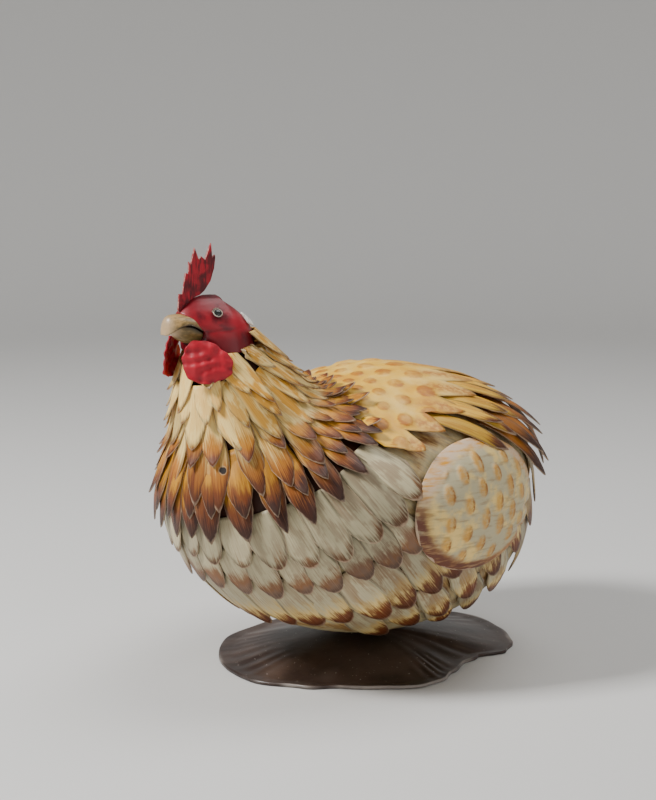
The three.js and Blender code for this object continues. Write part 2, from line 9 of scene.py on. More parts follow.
import bmesh
import bpy
import numpy as np
from bpy.props import FloatProperty, FloatVectorProperty, IntProperty, PointerProperty
from mathutils import Color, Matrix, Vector

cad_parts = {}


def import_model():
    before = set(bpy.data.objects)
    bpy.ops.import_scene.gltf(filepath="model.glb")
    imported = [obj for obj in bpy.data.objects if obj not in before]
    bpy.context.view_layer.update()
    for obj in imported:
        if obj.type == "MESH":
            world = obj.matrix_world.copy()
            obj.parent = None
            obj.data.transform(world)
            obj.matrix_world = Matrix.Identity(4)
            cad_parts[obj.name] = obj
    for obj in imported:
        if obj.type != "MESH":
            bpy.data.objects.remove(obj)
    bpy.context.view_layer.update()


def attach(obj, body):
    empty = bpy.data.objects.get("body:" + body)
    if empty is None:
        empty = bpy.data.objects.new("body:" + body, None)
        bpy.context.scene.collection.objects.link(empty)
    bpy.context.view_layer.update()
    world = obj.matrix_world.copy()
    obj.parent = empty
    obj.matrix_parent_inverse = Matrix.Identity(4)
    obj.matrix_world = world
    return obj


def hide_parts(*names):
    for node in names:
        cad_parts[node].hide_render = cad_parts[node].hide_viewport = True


bl_info = {
    "name": "Sheet-metal hen",
    "version": (1, 0, 0),
    "blender": (4, 5, 0),
    "location": "View3D > Sidebar > Hen",
    "description": "Builds a painted sheet-metal hen out of separate cut leaves",
    "category": "Add Mesh",
}

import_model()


def unit(way):
    """A direction, or each of several, at length 1."""
    way = np.asarray(way, float)
    return way / np.linalg.norm(way, axis=-1, keepdims=True)


# Shared gap and sheet thickness, as in the solids, and how far leaves sit off the skin
GAP = 0.00035
SHEET = 0.0012
SEAT = 0.0012

# Body egg, measured from its widest level
EGG_HALF_WIDTH = 0.135
EGG_FRONT = 0.176
EGG_BACK = 0.169
EGG_RISE = 0.100
EGG_DROP = 0.136
EGG_SHEAR_BACK = 0.024
EGG_SQUARENESS = 0.25
SHOULDER_DIP = 0.009
SHOULDER_START = 0.050
SHOULDER_LENGTH = 0.080
EGG_Y = 0.006295
PLATE_CROWN = 0.023
EGG_Z = PLATE_CROWN + GAP + EGG_DROP

# Neck cone
NECK_TOP = np.array([0, EGG_Y - 0.152, EGG_Z + 0.1485])
NECK_LOW = np.array([0, EGG_Y - 0.110, EGG_Z + 0.0505])
NECK_TOP_RADIUS = 0.023
NECK_LOW_RADIUS = 0.068
NECK_FADE_START = 0.090
NECK_FADE_LENGTH = 0.130
NECK_BLEND = 0.024
SHELL_SINK = 0.0006
HEAD_SEAT_Z = NECK_TOP[2] - 0.016

# The point that every ring of leaves is measured from, with its pole through the head
HEART = np.array([0, EGG_Y - 0.030, EGG_Z + 0.0105])
POLE = unit(np.array([0, NECK_TOP[1] - 0.006, NECK_TOP[2] + 0.002]) - HEART)
ACROSS = np.array([1.0, 0.0, 0.0])
TOWARD_NAPE = np.cross(POLE, ACROSS)


def blend(low, high, share):
    return low + (high - low) * share


def ease(share):
    return 0.5 - 0.5 * np.cos(np.pi * np.clip(share, 0, 1))


def bell(distance, width):
    """A smooth hump, 1 in the middle."""
    return np.exp(-(distance / width) ** 2)


# The skin: the egg and the neck cone blended into one closed form

def egg_field(p):
    z = p[:, 2] - EGG_Z
    y = p[:, 1] - EGG_Y - EGG_SHEAR_BACK * np.clip(-z / EGG_DROP, 0, 1) ** 1.5
    power = 2 + EGG_SQUARENESS * np.clip(y / EGG_BACK, 0, 1)
    length = np.where(y < 0, EGG_FRONT, EGG_BACK)
    shoulder = SHOULDER_DIP * ease((SHOULDER_START - y) / SHOULDER_LENGTH)
    height = np.where(z < 0, EGG_DROP, EGG_RISE - shoulder)
    total = abs(p[:, 0] / EGG_HALF_WIDTH) ** power + abs(y / length) ** power + abs(z / height) ** power
    return (np.maximum(total, 1e-9) ** (1 / power) - 1) * EGG_HALF_WIDTH


def neck_field(p):
    axis = NECK_LOW - NECK_TOP
    length = np.linalg.norm(axis)
    axis = axis / length
    q = p - NECK_TOP
    along = q @ axis
    away = np.linalg.norm(q - along[:, None] * axis, axis=1)
    slope = (NECK_LOW_RADIUS - NECK_TOP_RADIUS) / length
    wall = (away - NECK_TOP_RADIUS - slope * along) / math.hypot(1, slope)
    fade = np.maximum(0, along - NECK_FADE_START) ** 2 / NECK_FADE_LENGTH
    return np.maximum(wall + fade, p[:, 2] - HEAD_SEAT_Z)


def skin_field(p):
    a = egg_field(p)
    b = neck_field(p)
    h = np.clip(0.5 + 0.5 * (b - a) / NECK_BLEND, 0, 1)
    return blend(b, a, h) - NECK_BLEND * h * (1 - h)


def leave_skin(start, way):
    """Where rays from inside first leave the skin."""
    inside = np.zeros(len(way))
    outside = np.full(len(way), 0.4)
    for _ in range(24):
        middle = (inside + outside) / 2
        out = skin_field(start + way * middle[:, None]) > 0
        outside = np.where(out, middle, outside)
        inside = np.where(out, inside, middle)
    return start + way * inside[:, None]


def skin_normal(p):
    step = 0.0005
    slopes = [skin_field(p + step * axis) - skin_field(p - step * axis) for axis in np.eye(3)]
    return unit(np.stack(slopes, axis=1))


def on_skin(theta, phi):
    """Points and normals on the skin. theta runs from the head (0) to the vent (180), and phi
    from the nape (0) by the hen's left flank (90) to the breast (180), in degrees."""
    t = np.radians(theta)[:, None]
    f = np.radians(phi)[:, None]
    way = POLE * np.cos(t) + TOWARD_NAPE * np.sin(t) * np.cos(f) + ACROSS * np.sin(t) * np.sin(f)
    p = leave_skin(HEART, way)
    return p, skin_normal(p)


def ring_value(nape, flank, breast, phi):
    """A value that goes smoothly round a ring of leaves."""
    turn = np.abs((np.asarray(phi, float) + 540) % 360 - 180)
    front = blend(flank, breast, ease((turn - 105) / 75))
    return np.where(turn < 105, blend(nape, flank, ease(turn / 105)), front)


# Meshes

SIDES = (("left", 1), ("right", -1))


def blank(*marks):
    """An empty bmesh with a UV map and a layer for each mark, which have to come before its vertices."""
    bm = bmesh.new()
    bm.loops.layers.uv.new("UVMap")
    for name in marks:
        bm.verts.layers.float.new(name)
    return bm


def grid_into(bm, columns, rows):
    """Adds a grid and gives its new vertices with their places across (-1 to 1) and along (0 to 1)."""
    made = bmesh.ops.create_grid(bm, x_segments=columns, y_segments=rows, size=1.0)["verts"]
    places = np.array([(v.co.x, (v.co.y + 1) / 2) for v in made])
    return made, places[:, 0], places[:, 1]


def disc_places(across, along):
    """Turns the places of a square grid into those of a disc: its turn and its share outward."""
    x, y = across, 2 * along - 1
    u = x * np.sqrt(1 - y ** 2 / 2)
    v = y * np.sqrt(1 - x ** 2 / 2)
    return np.arctan2(v, u), np.hypot(u, v)


def place(verts, points, side=1):
    """Moves vertices to points, or with side -1 to their mirror image on the hen's right."""
    for vert, point in zip(verts, points * [side, 1, 1]):
        vert.co = point


def write_marks(bm, verts, **marks):
    """Stores one number a vertex for each named mark, for the paint to read."""
    for name, values in marks.items():
        layer = bm.verts.layers.float[name]
        for vert, value in zip(verts, np.broadcast_to(values, len(verts))):
            vert[layer] = float(value)


def write_uv(bm, verts, u, v):
    layer = bm.loops.layers.uv["UVMap"]
    for vert, a, b in zip(verts, u, v):
        for loop in vert.link_loops:
            loop[layer].uv = (a, b)


def object_from(bm, name, material, smooth=True):
    mesh = bpy.data.meshes.new(name)
    bm.to_mesh(mesh)
    bm.free()
    made = bpy.data.objects.new(name, mesh)
    bpy.context.scene.collection.objects.link(made)
    mesh.materials.append(material)
    for polygon in mesh.polygons:
        polygon.use_smooth = smooth
    return made


def piece_from(bm, name, material, nodes, wall=0.0, bevel=0.0, smooth=True):
    """Makes one finished piece of the figure, standing for its nodes of the frame."""
    piece = object_from(bm, name, material, smooth)
    if wall:
        sheet = piece.modifiers.new("Sheet", "SOLIDIFY")
        sheet.thickness = wall
        sheet.offset = -1
    if bevel:
        edge = piece.modifiers.new("Edge", "BEVEL")
        edge.width = bevel
        edge.segments = 2
        edge.limit_method = "ANGLE"
    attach(piece, "root")
    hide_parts(*nodes)
    return piece


def turn_toward(bm, way):
    """Turns over every face that looks against a direction."""
    bm.normal_update()
    wrong = [face for face in bm.faces if face.normal.dot(way) < 0]
    bmesh.ops.reverse_faces(bm, faces=wrong)


def close_tube(bm):
    """Merges the seam and the ends of a grid rolled into a closed form, faces outward."""
    bmesh.ops.remove_doubles(bm, verts=bm.verts, dist=0.00002)
    bmesh.ops.recalc_face_normals(bm, faces=bm.faces)


# Paint

def solid(color):
    return tuple(color) + (1.0,)


class Sketch:
    """A short hand for writing a node tree."""

    def __init__(self, tree):
        self.tree = tree

    def node(self, kind, **inputs):
        made = self.tree.nodes.new(kind)
        for name, value in inputs.items():
            self.feed(made.inputs[name.replace("_", " ")], value)
        return made

    def feed(self, socket, value):
        if isinstance(value, bpy.types.NodeSocket):
            self.tree.links.new(value, socket)
        elif value is not None:
            socket.default_value = solid(value) if isinstance(value, Color) else value

    def math(self, operation, a, b=0.0, c=0.0):
        made = self.tree.nodes.new("ShaderNodeMath")
        made.operation = operation
        for socket, number in zip(made.inputs, (a, b, c)):
            self.feed(socket, number)
        return made.outputs[0]

    def fade(self, value, low, high, start=0.0, end=1.0):
        """A smooth step from start to end as the value goes from low to high."""
        made = self.tree.nodes.new("ShaderNodeMapRange")
        made.interpolation_type = "SMOOTHSTEP"
        for socket, number in zip(made.inputs, (value, low, high, start, end)):
            self.feed(socket, number)
        return made.outputs["Result"]

    def mix(self, share, a, b, mode="MIX"):
        made = self.tree.nodes.new("ShaderNodeMix")
        made.data_type = "RGBA"
        made.blend_type = mode
        self.feed(made.inputs["Factor"], share)
        self.feed(made.inputs[6], a)
        self.feed(made.inputs[7], b)
        return made.outputs[2]

    def noise(self, place, scale, detail=3.0, roughness=0.55):
        made = self.node("ShaderNodeTexNoise", Vector=place, Scale=scale, Detail=detail, Roughness=roughness)
        return made.outputs["Fac"]

    def drawn_out(self, scale, detail):
        """Noise on Object coordinates, stretched by a scale for each axis."""
        spot = self.node("ShaderNodeMapping", Vector=self.object_place(), Scale=scale).outputs[0]
        return self.noise(spot, 1.0, detail)

    def times(self, a, b):
        return self.math("MULTIPLY", a, b)

    def plus(self, a, b):
        return self.math("ADD", a, b)

    def shifted(self, value, noise, amount):
        """A value moved up and down by a noise."""
        return self.plus(value, self.times(self.math("SUBTRACT", noise, 0.5), amount))

    def group(self, group_name, **inputs):
        made = self.tree.nodes.new("ShaderNodeGroup")
        made.node_tree = bpy.data.node_groups[group_name]
        for label, value in inputs.items():
            self.feed(made.inputs[label.replace("_", " ")], value)
        return made.outputs

    def mark(self, name):
        made = self.tree.nodes.new("ShaderNodeAttribute")
        made.attribute_name = name
        return made.outputs["Fac"]

    def object_place(self):
        return self.tree.nodes.new("ShaderNodeTexCoord").outputs["Object"]

    def uv(self):
        flat = self.tree.nodes.new("ShaderNodeUVMap").outputs["UV"]
        made = self.node("ShaderNodeSeparateXYZ", Vector=flat)
        return made.outputs[0], made.outputs[1]

    def place(self, x, y, z):
        return self.node("ShaderNodeCombineXYZ", X=x, Y=y, Z=z).outputs[0]


def group_of(name, inputs, outputs):
    """A shader node group with named inputs (name: default) and outputs (name: kind)."""
    tree = bpy.data.node_groups.new(name, "ShaderNodeTree")
    for label, default in inputs.items():
        kind = "NodeSocketColor" if isinstance(default, tuple) else "NodeSocketFloat"
        socket = tree.interface.new_socket(name=label, in_out="INPUT", socket_type=kind)
        socket.default_value = default
    for label, kind in outputs.items():
        tree.interface.new_socket(name=label, in_out="OUTPUT", socket_type=kind)
    return tree, tree.nodes.new("NodeGroupInput").outputs, tree.nodes.new("NodeGroupOutput").inputs


# Colour of the dark line painted along the leaf edges, deepened into painted shade for the shadow between
# overlapping leaves
RIM_LINE_AND_SHADE = (0.030, 0.011, 0.004, 1.0)


def leaf_paint_group():
    """Brushed paint along a leaf: three colours from root to tip, a patch, streaks, a dark line inside the
    rim that is also painted shade between the leaves, and a worn rim.
    """
    black = (0.0, 0.0, 0.0, 1.0)
    tree, given, result = group_of(
        "Leaf paint",
        {"Root": black, "Middle": black, "Tip": black, "Edge": black, "Patch": black,
         "Middle at": 0.4, "Tip at": 0.75, "Streaks": 0.5, "Patches": 0.5, "Wear": 0.8},
        {"Color": "NodeSocketColor", "Roughness": "NodeSocketFloat", "Height": "NodeSocketFloat"},
    )
    s = Sketch(tree)
    across, along = s.uv()
    leaf = s.mark("leaf")
    seed = s.times(leaf, 37.0)

    def brushed(wide, long, detail, roughness=0.55):
        return s.noise(s.place(s.times(across, wide), s.times(along, long), seed), 1.0, detail, roughness)

    broad = brushed(3.0, 2.5, 3.0)
    strokes = brushed(26.0, 2.2, 5.0, 0.6)
    hair = brushed(90.0, 5.0, 2.0)
    brush = s.times(s.math("SUBTRACT", strokes, 0.5), 0.5)
    reach = s.plus(s.shifted(along, broad, 0.55), brush)
    middle_end = s.plus(given["Middle at"], 0.30)
    tip_end = s.plus(given["Tip at"], 0.20)
    color = s.mix(s.fade(reach, given["Middle at"], middle_end), given["Root"], given["Middle"])
    inner = s.math("SUBTRACT", 1.0, s.math("ABSOLUTE", s.math("MULTIPLY_ADD", across, 2.0, -1.0)))
    spread = s.fade(s.plus(broad, s.times(brush, 0.6)), 0.42, 0.56)
    patch = s.times(spread, s.times(given["Patches"], s.mark("warm")))
    color = s.mix(s.times(patch, s.fade(inner, 0.05, 0.5)), color, given["Patch"])
    color = s.mix(s.fade(reach, given["Tip at"], tip_end), color, given["Tip"])
    dark_streak = s.times(s.fade(strokes, 0.46, 0.70), given["Streaks"])
    color = s.mix(dark_streak, color, s.mix(0.65, color, given["Tip"]))
    pale_streak = s.times(s.fade(strokes, 0.46, 0.28), s.times(given["Streaks"], 0.6))
    color = s.mix(pale_streak, color, s.mix(0.55, color, given["Edge"]))
    tone = s.fade(leaf, 0.0, 1.0, 0.72, 1.12)
    color = s.mix(1.0, color, s.place(tone, tone, tone), "MULTIPLY")
    rim = s.shifted(s.mark("rim"), s.noise(s.object_place(), 160.0, 3.0), 0.08)
    worn = s.times(s.fade(rim, 0.962, 1.0), given["Wear"])
    # Painted shade: a dark band inside each leaf's rim, its own dark edge line made deeper to stand in for
    # the shadow between leaves
    rim_line_and_shade = s.times(s.fade(rim, 0.80, 0.95), s.fade(strokes, 0.36, 0.56, 0.25, 0.75))
    color = s.mix(rim_line_and_shade, color, s.mix(0.75, color, RIM_LINE_AND_SHADE))
    s.feed(result["Color"], s.mix(worn, color, given["Edge"]))
    s.feed(result["Roughness"], s.fade(strokes, 0.3, 0.7, 0.42, 0.58))
    s.feed(result["Height"], s.plus(strokes, s.times(hair, 0.5)))


def hammered_group():
    """Soft dents of a hammer and fine grain, on Object coordinates."""
    tree, given, result = group_of(
        "Hammered sheet", {"Dents": 60.0, "Grain": 500.0},
        {"Height": "NodeSocketFloat", "Patches": "NodeSocketFloat"},
    )
    s = Sketch(tree)
    spot = s.object_place()
    dents = s.noise(spot, given["Dents"], 2.0)
    grain = s.noise(spot, given["Grain"], 2.0)
    s.feed(result["Height"], s.plus(dents, s.times(grain, 0.12)))
    s.feed(result["Patches"], s.noise(spot, s.times(given["Dents"], 0.4), 4.0))


class Paint(Sketch):
    """A painted-metal material, with the sketch of its nodes."""

    def __init__(self, name, roughness=0.52, coat=0.06, bump=0.3, distance=0.0006):
        self.material = bpy.data.materials.new(name)
        self.material.use_nodes = True
        super().__init__(self.material.node_tree)
        self.shader = self.tree.nodes["Principled BSDF"].inputs
        self.shader["Roughness"].default_value = roughness
        self.shader["Coat Weight"].default_value = coat
        self.shader["Coat Roughness"].default_value = 0.25
        self.shader["Specular IOR Level"].default_value = 0.35
        self.relief = self.node("ShaderNodeBump", Strength=bump, Distance=distance)
        self.feed(self.shader["Normal"], self.relief.outputs["Normal"])

    def finish(self, color, height=None, roughness=None):
        self.feed(self.shader["Base Color"], color)
        self.feed(self.relief.inputs["Height"], height)
        self.feed(self.shader["Roughness"], roughness)
        return self.material


# The chip in the paint
CHIP_SPOT = (0.0415, -0.1662, 0.1999)
CHIP_EDGE = (0.45, 0.30, 0.16, 1)
CHIP_DARK = (0.022, 0.016, 0.014, 1)


def chip_into(s, color):
    """A chip in the paint of one leaf on the breast, dark with a pale edge."""
    away = s.tree.nodes.new("ShaderNodeVectorMath")
    away.operation = "DISTANCE"
    s.feed(away.inputs[0], s.object_place())
    away.inputs[1].default_value = CHIP_SPOT
    distance = s.shifted(away.outputs["Value"], s.noise(s.object_place(), 300.0, 2.0), 0.0022)
    color = s.mix(s.fade(distance, 0.0047, 0.0042, 0.0, 0.7), color, CHIP_EDGE)
    return s.mix(s.fade(distance, 0.0040, 0.0035), color, CHIP_DARK)


# Root, middle, tip and patch colours of the leaves, then where the middle and the tip begin, and how
# strong the streaks, the patches and the wear are
LEAF_PAINTS = {
    "Hackle cream": ("cream", "cream", "ochre", "gold", 0.3, 0.84, 0.55, 0.95, 0.5),
    "Hackle ochre": ("cream", "ochre", "brown", "gold", 0.36, 0.66, 0.5, 0.6, 0.5),
    "Hackle brown": ("gold", "brown", "maroon", "ochre", 0.36, 0.66, 0.45, 0.5, 0.4),
    "Shoulder leaves": ("saddle", "gold", "brown", "ochre", 0.3, 0.62, 0.5, 0.8, 0.8),
    "Saddle leaves": ("saddle", "saddle", "brown", "gold", 0.35, 0.72, 0.5, 0.7, 0.5),
    "Tail leaves": ("ochre", "brown", "maroon", "ochre", 0.45, 0.60, 0.6, 0.6, 0.5),
    "Plain scallops": ("skin", "skin", "tan", "mauve", 0.3, 0.78, 0.5, 0.5, 0.6),
    "Breast scallops": ("skin", "tan", "mauve", "mauve", 0.42, 0.70, 0.5, 0.5, 0.5),
    "Belly scallops": ("skin", "cream", "brown", "tan", 0.4, 0.62, 0.6, 0.6, 0.4),
    "Saddle": ("saddle", "saddle", "saddle", "gold", 0.3, 0.88, 0.3, 0.6, 0.5),
}


def leaf_paint(s, name):
    paint = bpy.context.scene.hen_paint
    *colors, middle_at, tip_at, streaks, patches, wear = LEAF_PAINTS[name]
    root, middle, tip, patch = [getattr(paint, color) for color in colors]
    return s.group(
        "Leaf paint", Root=root, Middle=middle, Tip=tip, Edge=paint.white, Patch=patch,
        Middle_at=middle_at, Tip_at=tip_at, Streaks=streaks, Patches=patches, Wear=wear,
    )


def leaf_material(name):
    s = Paint(name, bump=0.4, distance=0.0005)
    made = leaf_paint(s, name)
    return s.finish(chip_into(s, made["Color"]), made["Height"], made["Roughness"])


# Leaves

LEAF_COLUMNS = 8
LEAF_ROWS = 14


def lay_leaves(bm, leaves, power):
    """Lays leaves over the skin, each a bent grid with a crease down its middle and a pointed tip."""
    grids = [grid_into(bm, LEAF_COLUMNS, LEAF_ROWS) for _ in leaves]
    verts = [vert for made, _, _ in grids for vert in made]
    u = np.concatenate([across for _, across, _ in grids])
    v = np.concatenate([along for _, _, along in grids])
    owner = np.repeat(np.arange(len(leaves)), len(grids[0][0]))
    value = {key: np.array([leaf[key] for leaf in leaves])[owner] for key in leaves[0]}
    notch = np.clip(value["taper"] / (value["tip"] - value["root"]), 0, 0.75)
    run = v * (1 - notch * abs(u) ** power)
    theta = blend(value["root"], value["tip"], run)
    phi = value["phi"] + value["swing"] * run ** 2
    p, normal = on_skin(theta, phi)
    ahead, _ = on_skin(theta + 0.4, phi + value["swing"] * 0.02)
    side = unit(np.cross(unit(ahead - p), normal))
    ring_radius = np.linalg.norm(np.cross(p - HEART, POLE), axis=1)
    half = value["half"] * (0.78 + 0.22 * ease(run * 1.6))
    ragged = 0.035 * np.sin(11 * run + 40 * value["seed"]) * np.sign(u) * abs(u) ** 3
    offset = (u + ragged) * half
    fall = offset ** 2 / (2 * np.maximum(ring_radius, 0.03))
    crease = value["crease"] * (1 - abs(u)) * np.clip(run * 3, 0, 1)
    lift = blend(value["low"], value["high"], run) + value["curl"] * run ** 6
    height = lift + crease - fall + value["roll"] * u * half * ease(run * 1.5)
    points = p + side * offset[:, None] + normal * height[:, None]
    place(verts, points)
    write_uv(bm, verts, (u + 1) / 2, run)
    write_marks(bm, verts, leaf=value["seed"], rim=np.maximum(abs(u), v), warm=value["warm"])


def leaf_ring(count, start, end, root, tip, half, rise, taper=8.0, crease=0.0014, jitter=1.0, offset=0.0,
              seed=1, curl=0.0012, low=SEAT + 0.0012, roll=0.16, stagger=0.0016):
    """The leaves of one ring, each a little different from the next. Root, tip, half width and rise
    are given at the nape, the flank and the breast."""
    dice = np.random.default_rng(seed)
    closed = end - start >= 360
    leaves = []
    for number in range(count):
        step = (end - start) / (count if closed else max(count - 1, 1))
        phi = start + (number + offset) * step + dice.normal(0, 0.10 * step) * jitter
        over = (number % 2) * stagger
        leaves.append({
            "phi": phi,
            "root": float(ring_value(*root, phi)),
            "tip": float(ring_value(*tip, phi)) + dice.normal(0, 1.2) * jitter,
            "half": float(ring_value(*half, phi)) * dice.uniform(0.92, 1.10),
            "taper": taper * dice.uniform(0.85, 1.2),
            "low": low + over,
            "high": SEAT + float(ring_value(*rise, phi)) + over + dice.uniform(-0.0008, 0.0010) * jitter,
            "crease": crease,
            "roll": roll * dice.uniform(0.3, 1.1) * math.copysign(1, math.sin(math.radians(phi))),
            "curl": curl * dice.uniform(0.2, 1.8),
            "swing": dice.normal(0, 1.0) * jitter,
            "seed": dice.uniform(),
            "warm": float(ring_value(1, 1, 0.2, phi)),
        })
    return leaves


def turn_outward(bm):
    """Points each leaf's faces away from the heart."""
    bm.normal_update()
    middle = Vector(HEART)
    wrong = [face for face in bm.faces if face.normal.dot(face.calc_center_median() - middle) < 0]
    bmesh.ops.reverse_faces(bm, faces=wrong)


# Where each row of leaves ends, in degrees from the head, at the nape, the flank and the breast
HACKLE_TIPS = [(15, 19.5, 19), (20.5, 31, 27.5), (25.5, 51.5, 47), (31, 66.5, 60)]
SHOULDER_TIPS = (42, 65, 62)
SADDLE_TIPS = [(106, 75, 75), (118, 99, 99), (131, 112, 112)]
BREAST_TIPS = [(84, 86.5, 68), (96, 100, 80), (122, 124, 104), (138, 139, 130), (156, 152, 150)]


def before(tips, shift, nape_shift=None):
    """Ring values that come sooner by a shift, which may differ at the nape."""
    nape, flank, breast = tips
    return nape - (shift if nape_shift is None else nape_shift), flank - shift, breast - shift


def evenly(value):
    return value, value, value


# Leaves that hang from the back of the head, with their places in degrees
NAPE_LEAVES = 8
NAPE_ARC = 56
NAPE_UP = 0.0145
NAPE_STANDOFF = 0.0019
NAPE_TIP = 14.5
NAPE_LIFT = 0.0075


def length(name, description, default):
    return FloatProperty(name=name, description=description, default=default, unit="LENGTH")


class HenSizes(bpy.types.PropertyGroup):
    leaf_wall: length("Leaf wall", "Thickness of the cut leaves", 0.0009)
    nape_half: length("Nape half width", "Half width of a leaf at the nape", 0.0078)
    flank_half: length("Flank half width", "Half width of a neck leaf on the flank", 0.0095)
    breast_half: length("Breast half width", "Half width of a neck leaf on the breast", 0.0112)
    scallop_half: length("Scallop half width", "Half width of a breast scallop", 0.0150)
    shoulder_half: length("Shoulder half width", "Half width of a shoulder leaf", 0.0110)
    tail_half: length("Tail half width", "Half width of a saddle or tail leaf", 0.0088)
    jitter: FloatProperty(
        name="Unevenness", description="How much leaves differ from each other", default=1.0, min=0, max=2)
    seed: IntProperty(name="Seed", description="Start of the uneven places", default=11)


def swatch(name, description, color):
    return FloatVectorProperty(name=name, description=description, subtype="COLOR", default=color)


class HenPaint(bpy.types.PropertyGroup):
    cream: swatch("Cream", "Pale paint", (0.84, 0.6, 0.205))
    white: swatch("Edge", "Worn rims", (0.62, 0.45, 0.3))
    gold: swatch("Gold", "Patches in the pale leaves", (0.62, 0.275, 0.012))
    ochre: swatch("Ochre", "Golden paint", (0.4, 0.135, 0.01))
    brown: swatch("Brown", "Reddish brown", (0.165, 0.036, 0.004))
    maroon: swatch("Maroon", "Darkest tips", (0.05, 0.011, 0.004))
    skin: swatch("Skin", "Greyish cream", (0.5, 0.44, 0.27))
    tan: swatch("Tan", "Scallop tips", (0.215, 0.088, 0.028))
    mauve: swatch("Mauve", "Patches on the breast", (0.19, 0.105, 0.062))
    saddle: swatch("Saddle", "Warm yellow", (0.8, 0.455, 0.04))
    red: swatch("Red", "Face", (0.27, 0.004, 0.012))
    dark_red: swatch("Dark red", "Crown, jaw, comb", (0.095, 0.003, 0.008))
    wattle: swatch("Wattle", "Wattles", (0.42, 0.006, 0.02))
    beak: swatch("Beak", "Beak", (0.38, 0.235, 0.09))
    beak_dark: swatch("Dark beak", "Lower half and gape", (0.13, 0.088, 0.026))
    plum: swatch("Plum", "Front rim of the wing", (0.13, 0.04, 0.02))
    plate: swatch("Plate", "Foot plate", (0.026, 0.014, 0.011))
    floor: swatch("Floor", "Pale floor", (0.64, 0.63, 0.61))


class HenPart:
    """What every operator of the figure shares."""
    bl_options = {"REGISTER", "UNDO"}

    @property
    def sizes(self):
        return bpy.context.scene.hen_sizes

    @property
    def paint(self):
        return bpy.context.scene.hen_paint

    def leaf_piece(self, node, rings, material, slot, power, name=None):
        bm = blank("leaf", "rim", "warm")
        for leaves in rings:
            lay_leaves(bm, leaves, power)
        turn_outward(bm)
        return piece_from(bm, name or f"{node}_leaves", material, [node], wall=self.sizes.leaf_wall)


# Camera, the backdrop that curves up from the floor, and the lamps: place, width and watts
LENS = 85.5
CAMERA_SPOT = Vector((1.2448, EGG_Y - 1.0706, 0.5215))
CAMERA_AIM = Vector((-0.0528, EGG_Y + 0.0182, 0.2229))
SWEEP_RADIUS = 3.2
SWEEP_HEIGHT = 2.6
WORLD_COLOR = (0.80, 0.82, 0.85, 1)
WORLD_STRENGTH = 0.16
LAMP_AIM = Vector((0, 0, 0.2))
LAMPS = {
    "key": ((-0.55, -1.55, 1.75), 0.5, 72),
    "fill": ((1.9, 0.1, 0.9), 1.4, 7),
    "top": ((0.1, 0.6, 1.9), 1.2, 20),
}


def look_at(thing, spot, aim):
    thing.location = spot
    thing.rotation_euler = (aim - thing.location).to_track_quat("-Z", "Y").to_euler()
    bpy.context.scene.collection.objects.link(thing)


class HEN_OT_stage(HenPart, bpy.types.Operator):
    """Camera, plain floor and soft studio light"""
    bl_idname = "hen.stage"
    bl_label = "Stage"

    def execute(self, context):
        lens = bpy.data.cameras.new("camera")
        lens.lens = LENS
        lens.clip_end = 50
        camera = bpy.data.objects.new("camera", lens)
        look_at(camera, CAMERA_SPOT, CAMERA_AIM)
        context.scene.camera = camera

        bm = blank()
        verts, across, along = grid_into(bm, 64, 64)
        turn, share = disc_places(across, along)
        rise = SWEEP_HEIGHT * np.clip((share - 0.55) / 0.45, 0, 1) ** 2.5
        reach = SWEEP_RADIUS * np.minimum(share / 0.85, 1 + 0.1 * np.maximum(share - 0.85, 0))
        place(verts, np.stack([reach * np.cos(turn), reach * np.sin(turn), rise], axis=1))
        turn_toward(bm, (0, 0, 1))
        material = bpy.data.materials.new("Pale floor")
        material.use_nodes = True
        shader = material.node_tree.nodes["Principled BSDF"]
        shader.inputs["Base Color"].default_value = solid(self.paint.floor)
        shader.inputs["Roughness"].default_value = 0.8
        floor = object_from(bm, "floor", material)

        world = bpy.data.worlds.new("studio")
        world.use_nodes = True
        background = world.node_tree.nodes["Background"].inputs
        background["Color"].default_value = WORLD_COLOR
        background["Strength"].default_value = WORLD_STRENGTH
        context.scene.world = world
        for name, (spot, size, power) in LAMPS.items():
            data = bpy.data.lights.new(name, "AREA")
            data.size = size
            data.energy = power
            look_at(bpy.data.objects.new(name, data), spot, LAMP_AIM)
        return {"FINISHED"}


class HEN_OT_body(HenPart, bpy.types.Operator):
    """Egg-shaped shell with the neck cone, greyish cream, with painted shade where the leaves cover it"""
    bl_idname = "hen.body"
    bl_label = "Body"

    def execute(self, context):
        k = self.paint
        bm = blank("shade")
        made = bmesh.ops.create_uvsphere(bm, u_segments=96, v_segments=96, radius=1.0, calc_uvs=True)
        ball = np.array([v.co[:] for v in made["verts"]])
        way = ball[:, 2:3] * POLE + ball[:, 0:1] * TOWARD_NAPE + ball[:, 1:2] * ACROSS
        p = leave_skin(HEART, way)
        place(made["verts"], p - skin_normal(p) * SHELL_SINK)
        bmesh.ops.recalc_face_normals(bm, faces=bm.faces)
        theta = np.degrees(np.arccos(np.clip(ball[:, 2], -1, 1)))
        phi = np.degrees(np.arctan2(ball[:, 1], ball[:, 0]))
        covered = ring_value(*HACKLE_TIPS[3], phi)
        # Painted shade: the shade mark darkens the skin where the neck leaves cover it, for the shadow under
        # and between them
        write_marks(bm, made["verts"], shade=1 - ease((theta - covered - 1) / 5))
        s = Paint("Brushed skin", distance=0.0005)
        across, along = s.uv()
        stroke_place = s.place(s.times(across, 420.0), s.times(along, 26.0), 0.0)
        strokes = s.noise(stroke_place, 1.0, 4.0)
        broad = s.noise(s.object_place(), 34.0, 4.0)
        color = s.mix(s.fade(broad, 0.40, 0.66), k.skin, k.tan)
        color = s.mix(s.fade(strokes, 0.35, 0.70, 0.0, 0.45), color, k.cream)
        # Painted shade under the leaves: the shade mark turns the skin maroon
        material = s.finish(s.mix(s.mark("shade"), color, k.maroon), strokes)
        piece_from(bm, "body_shell", material, ["body"])
        return {"FINISHED"}


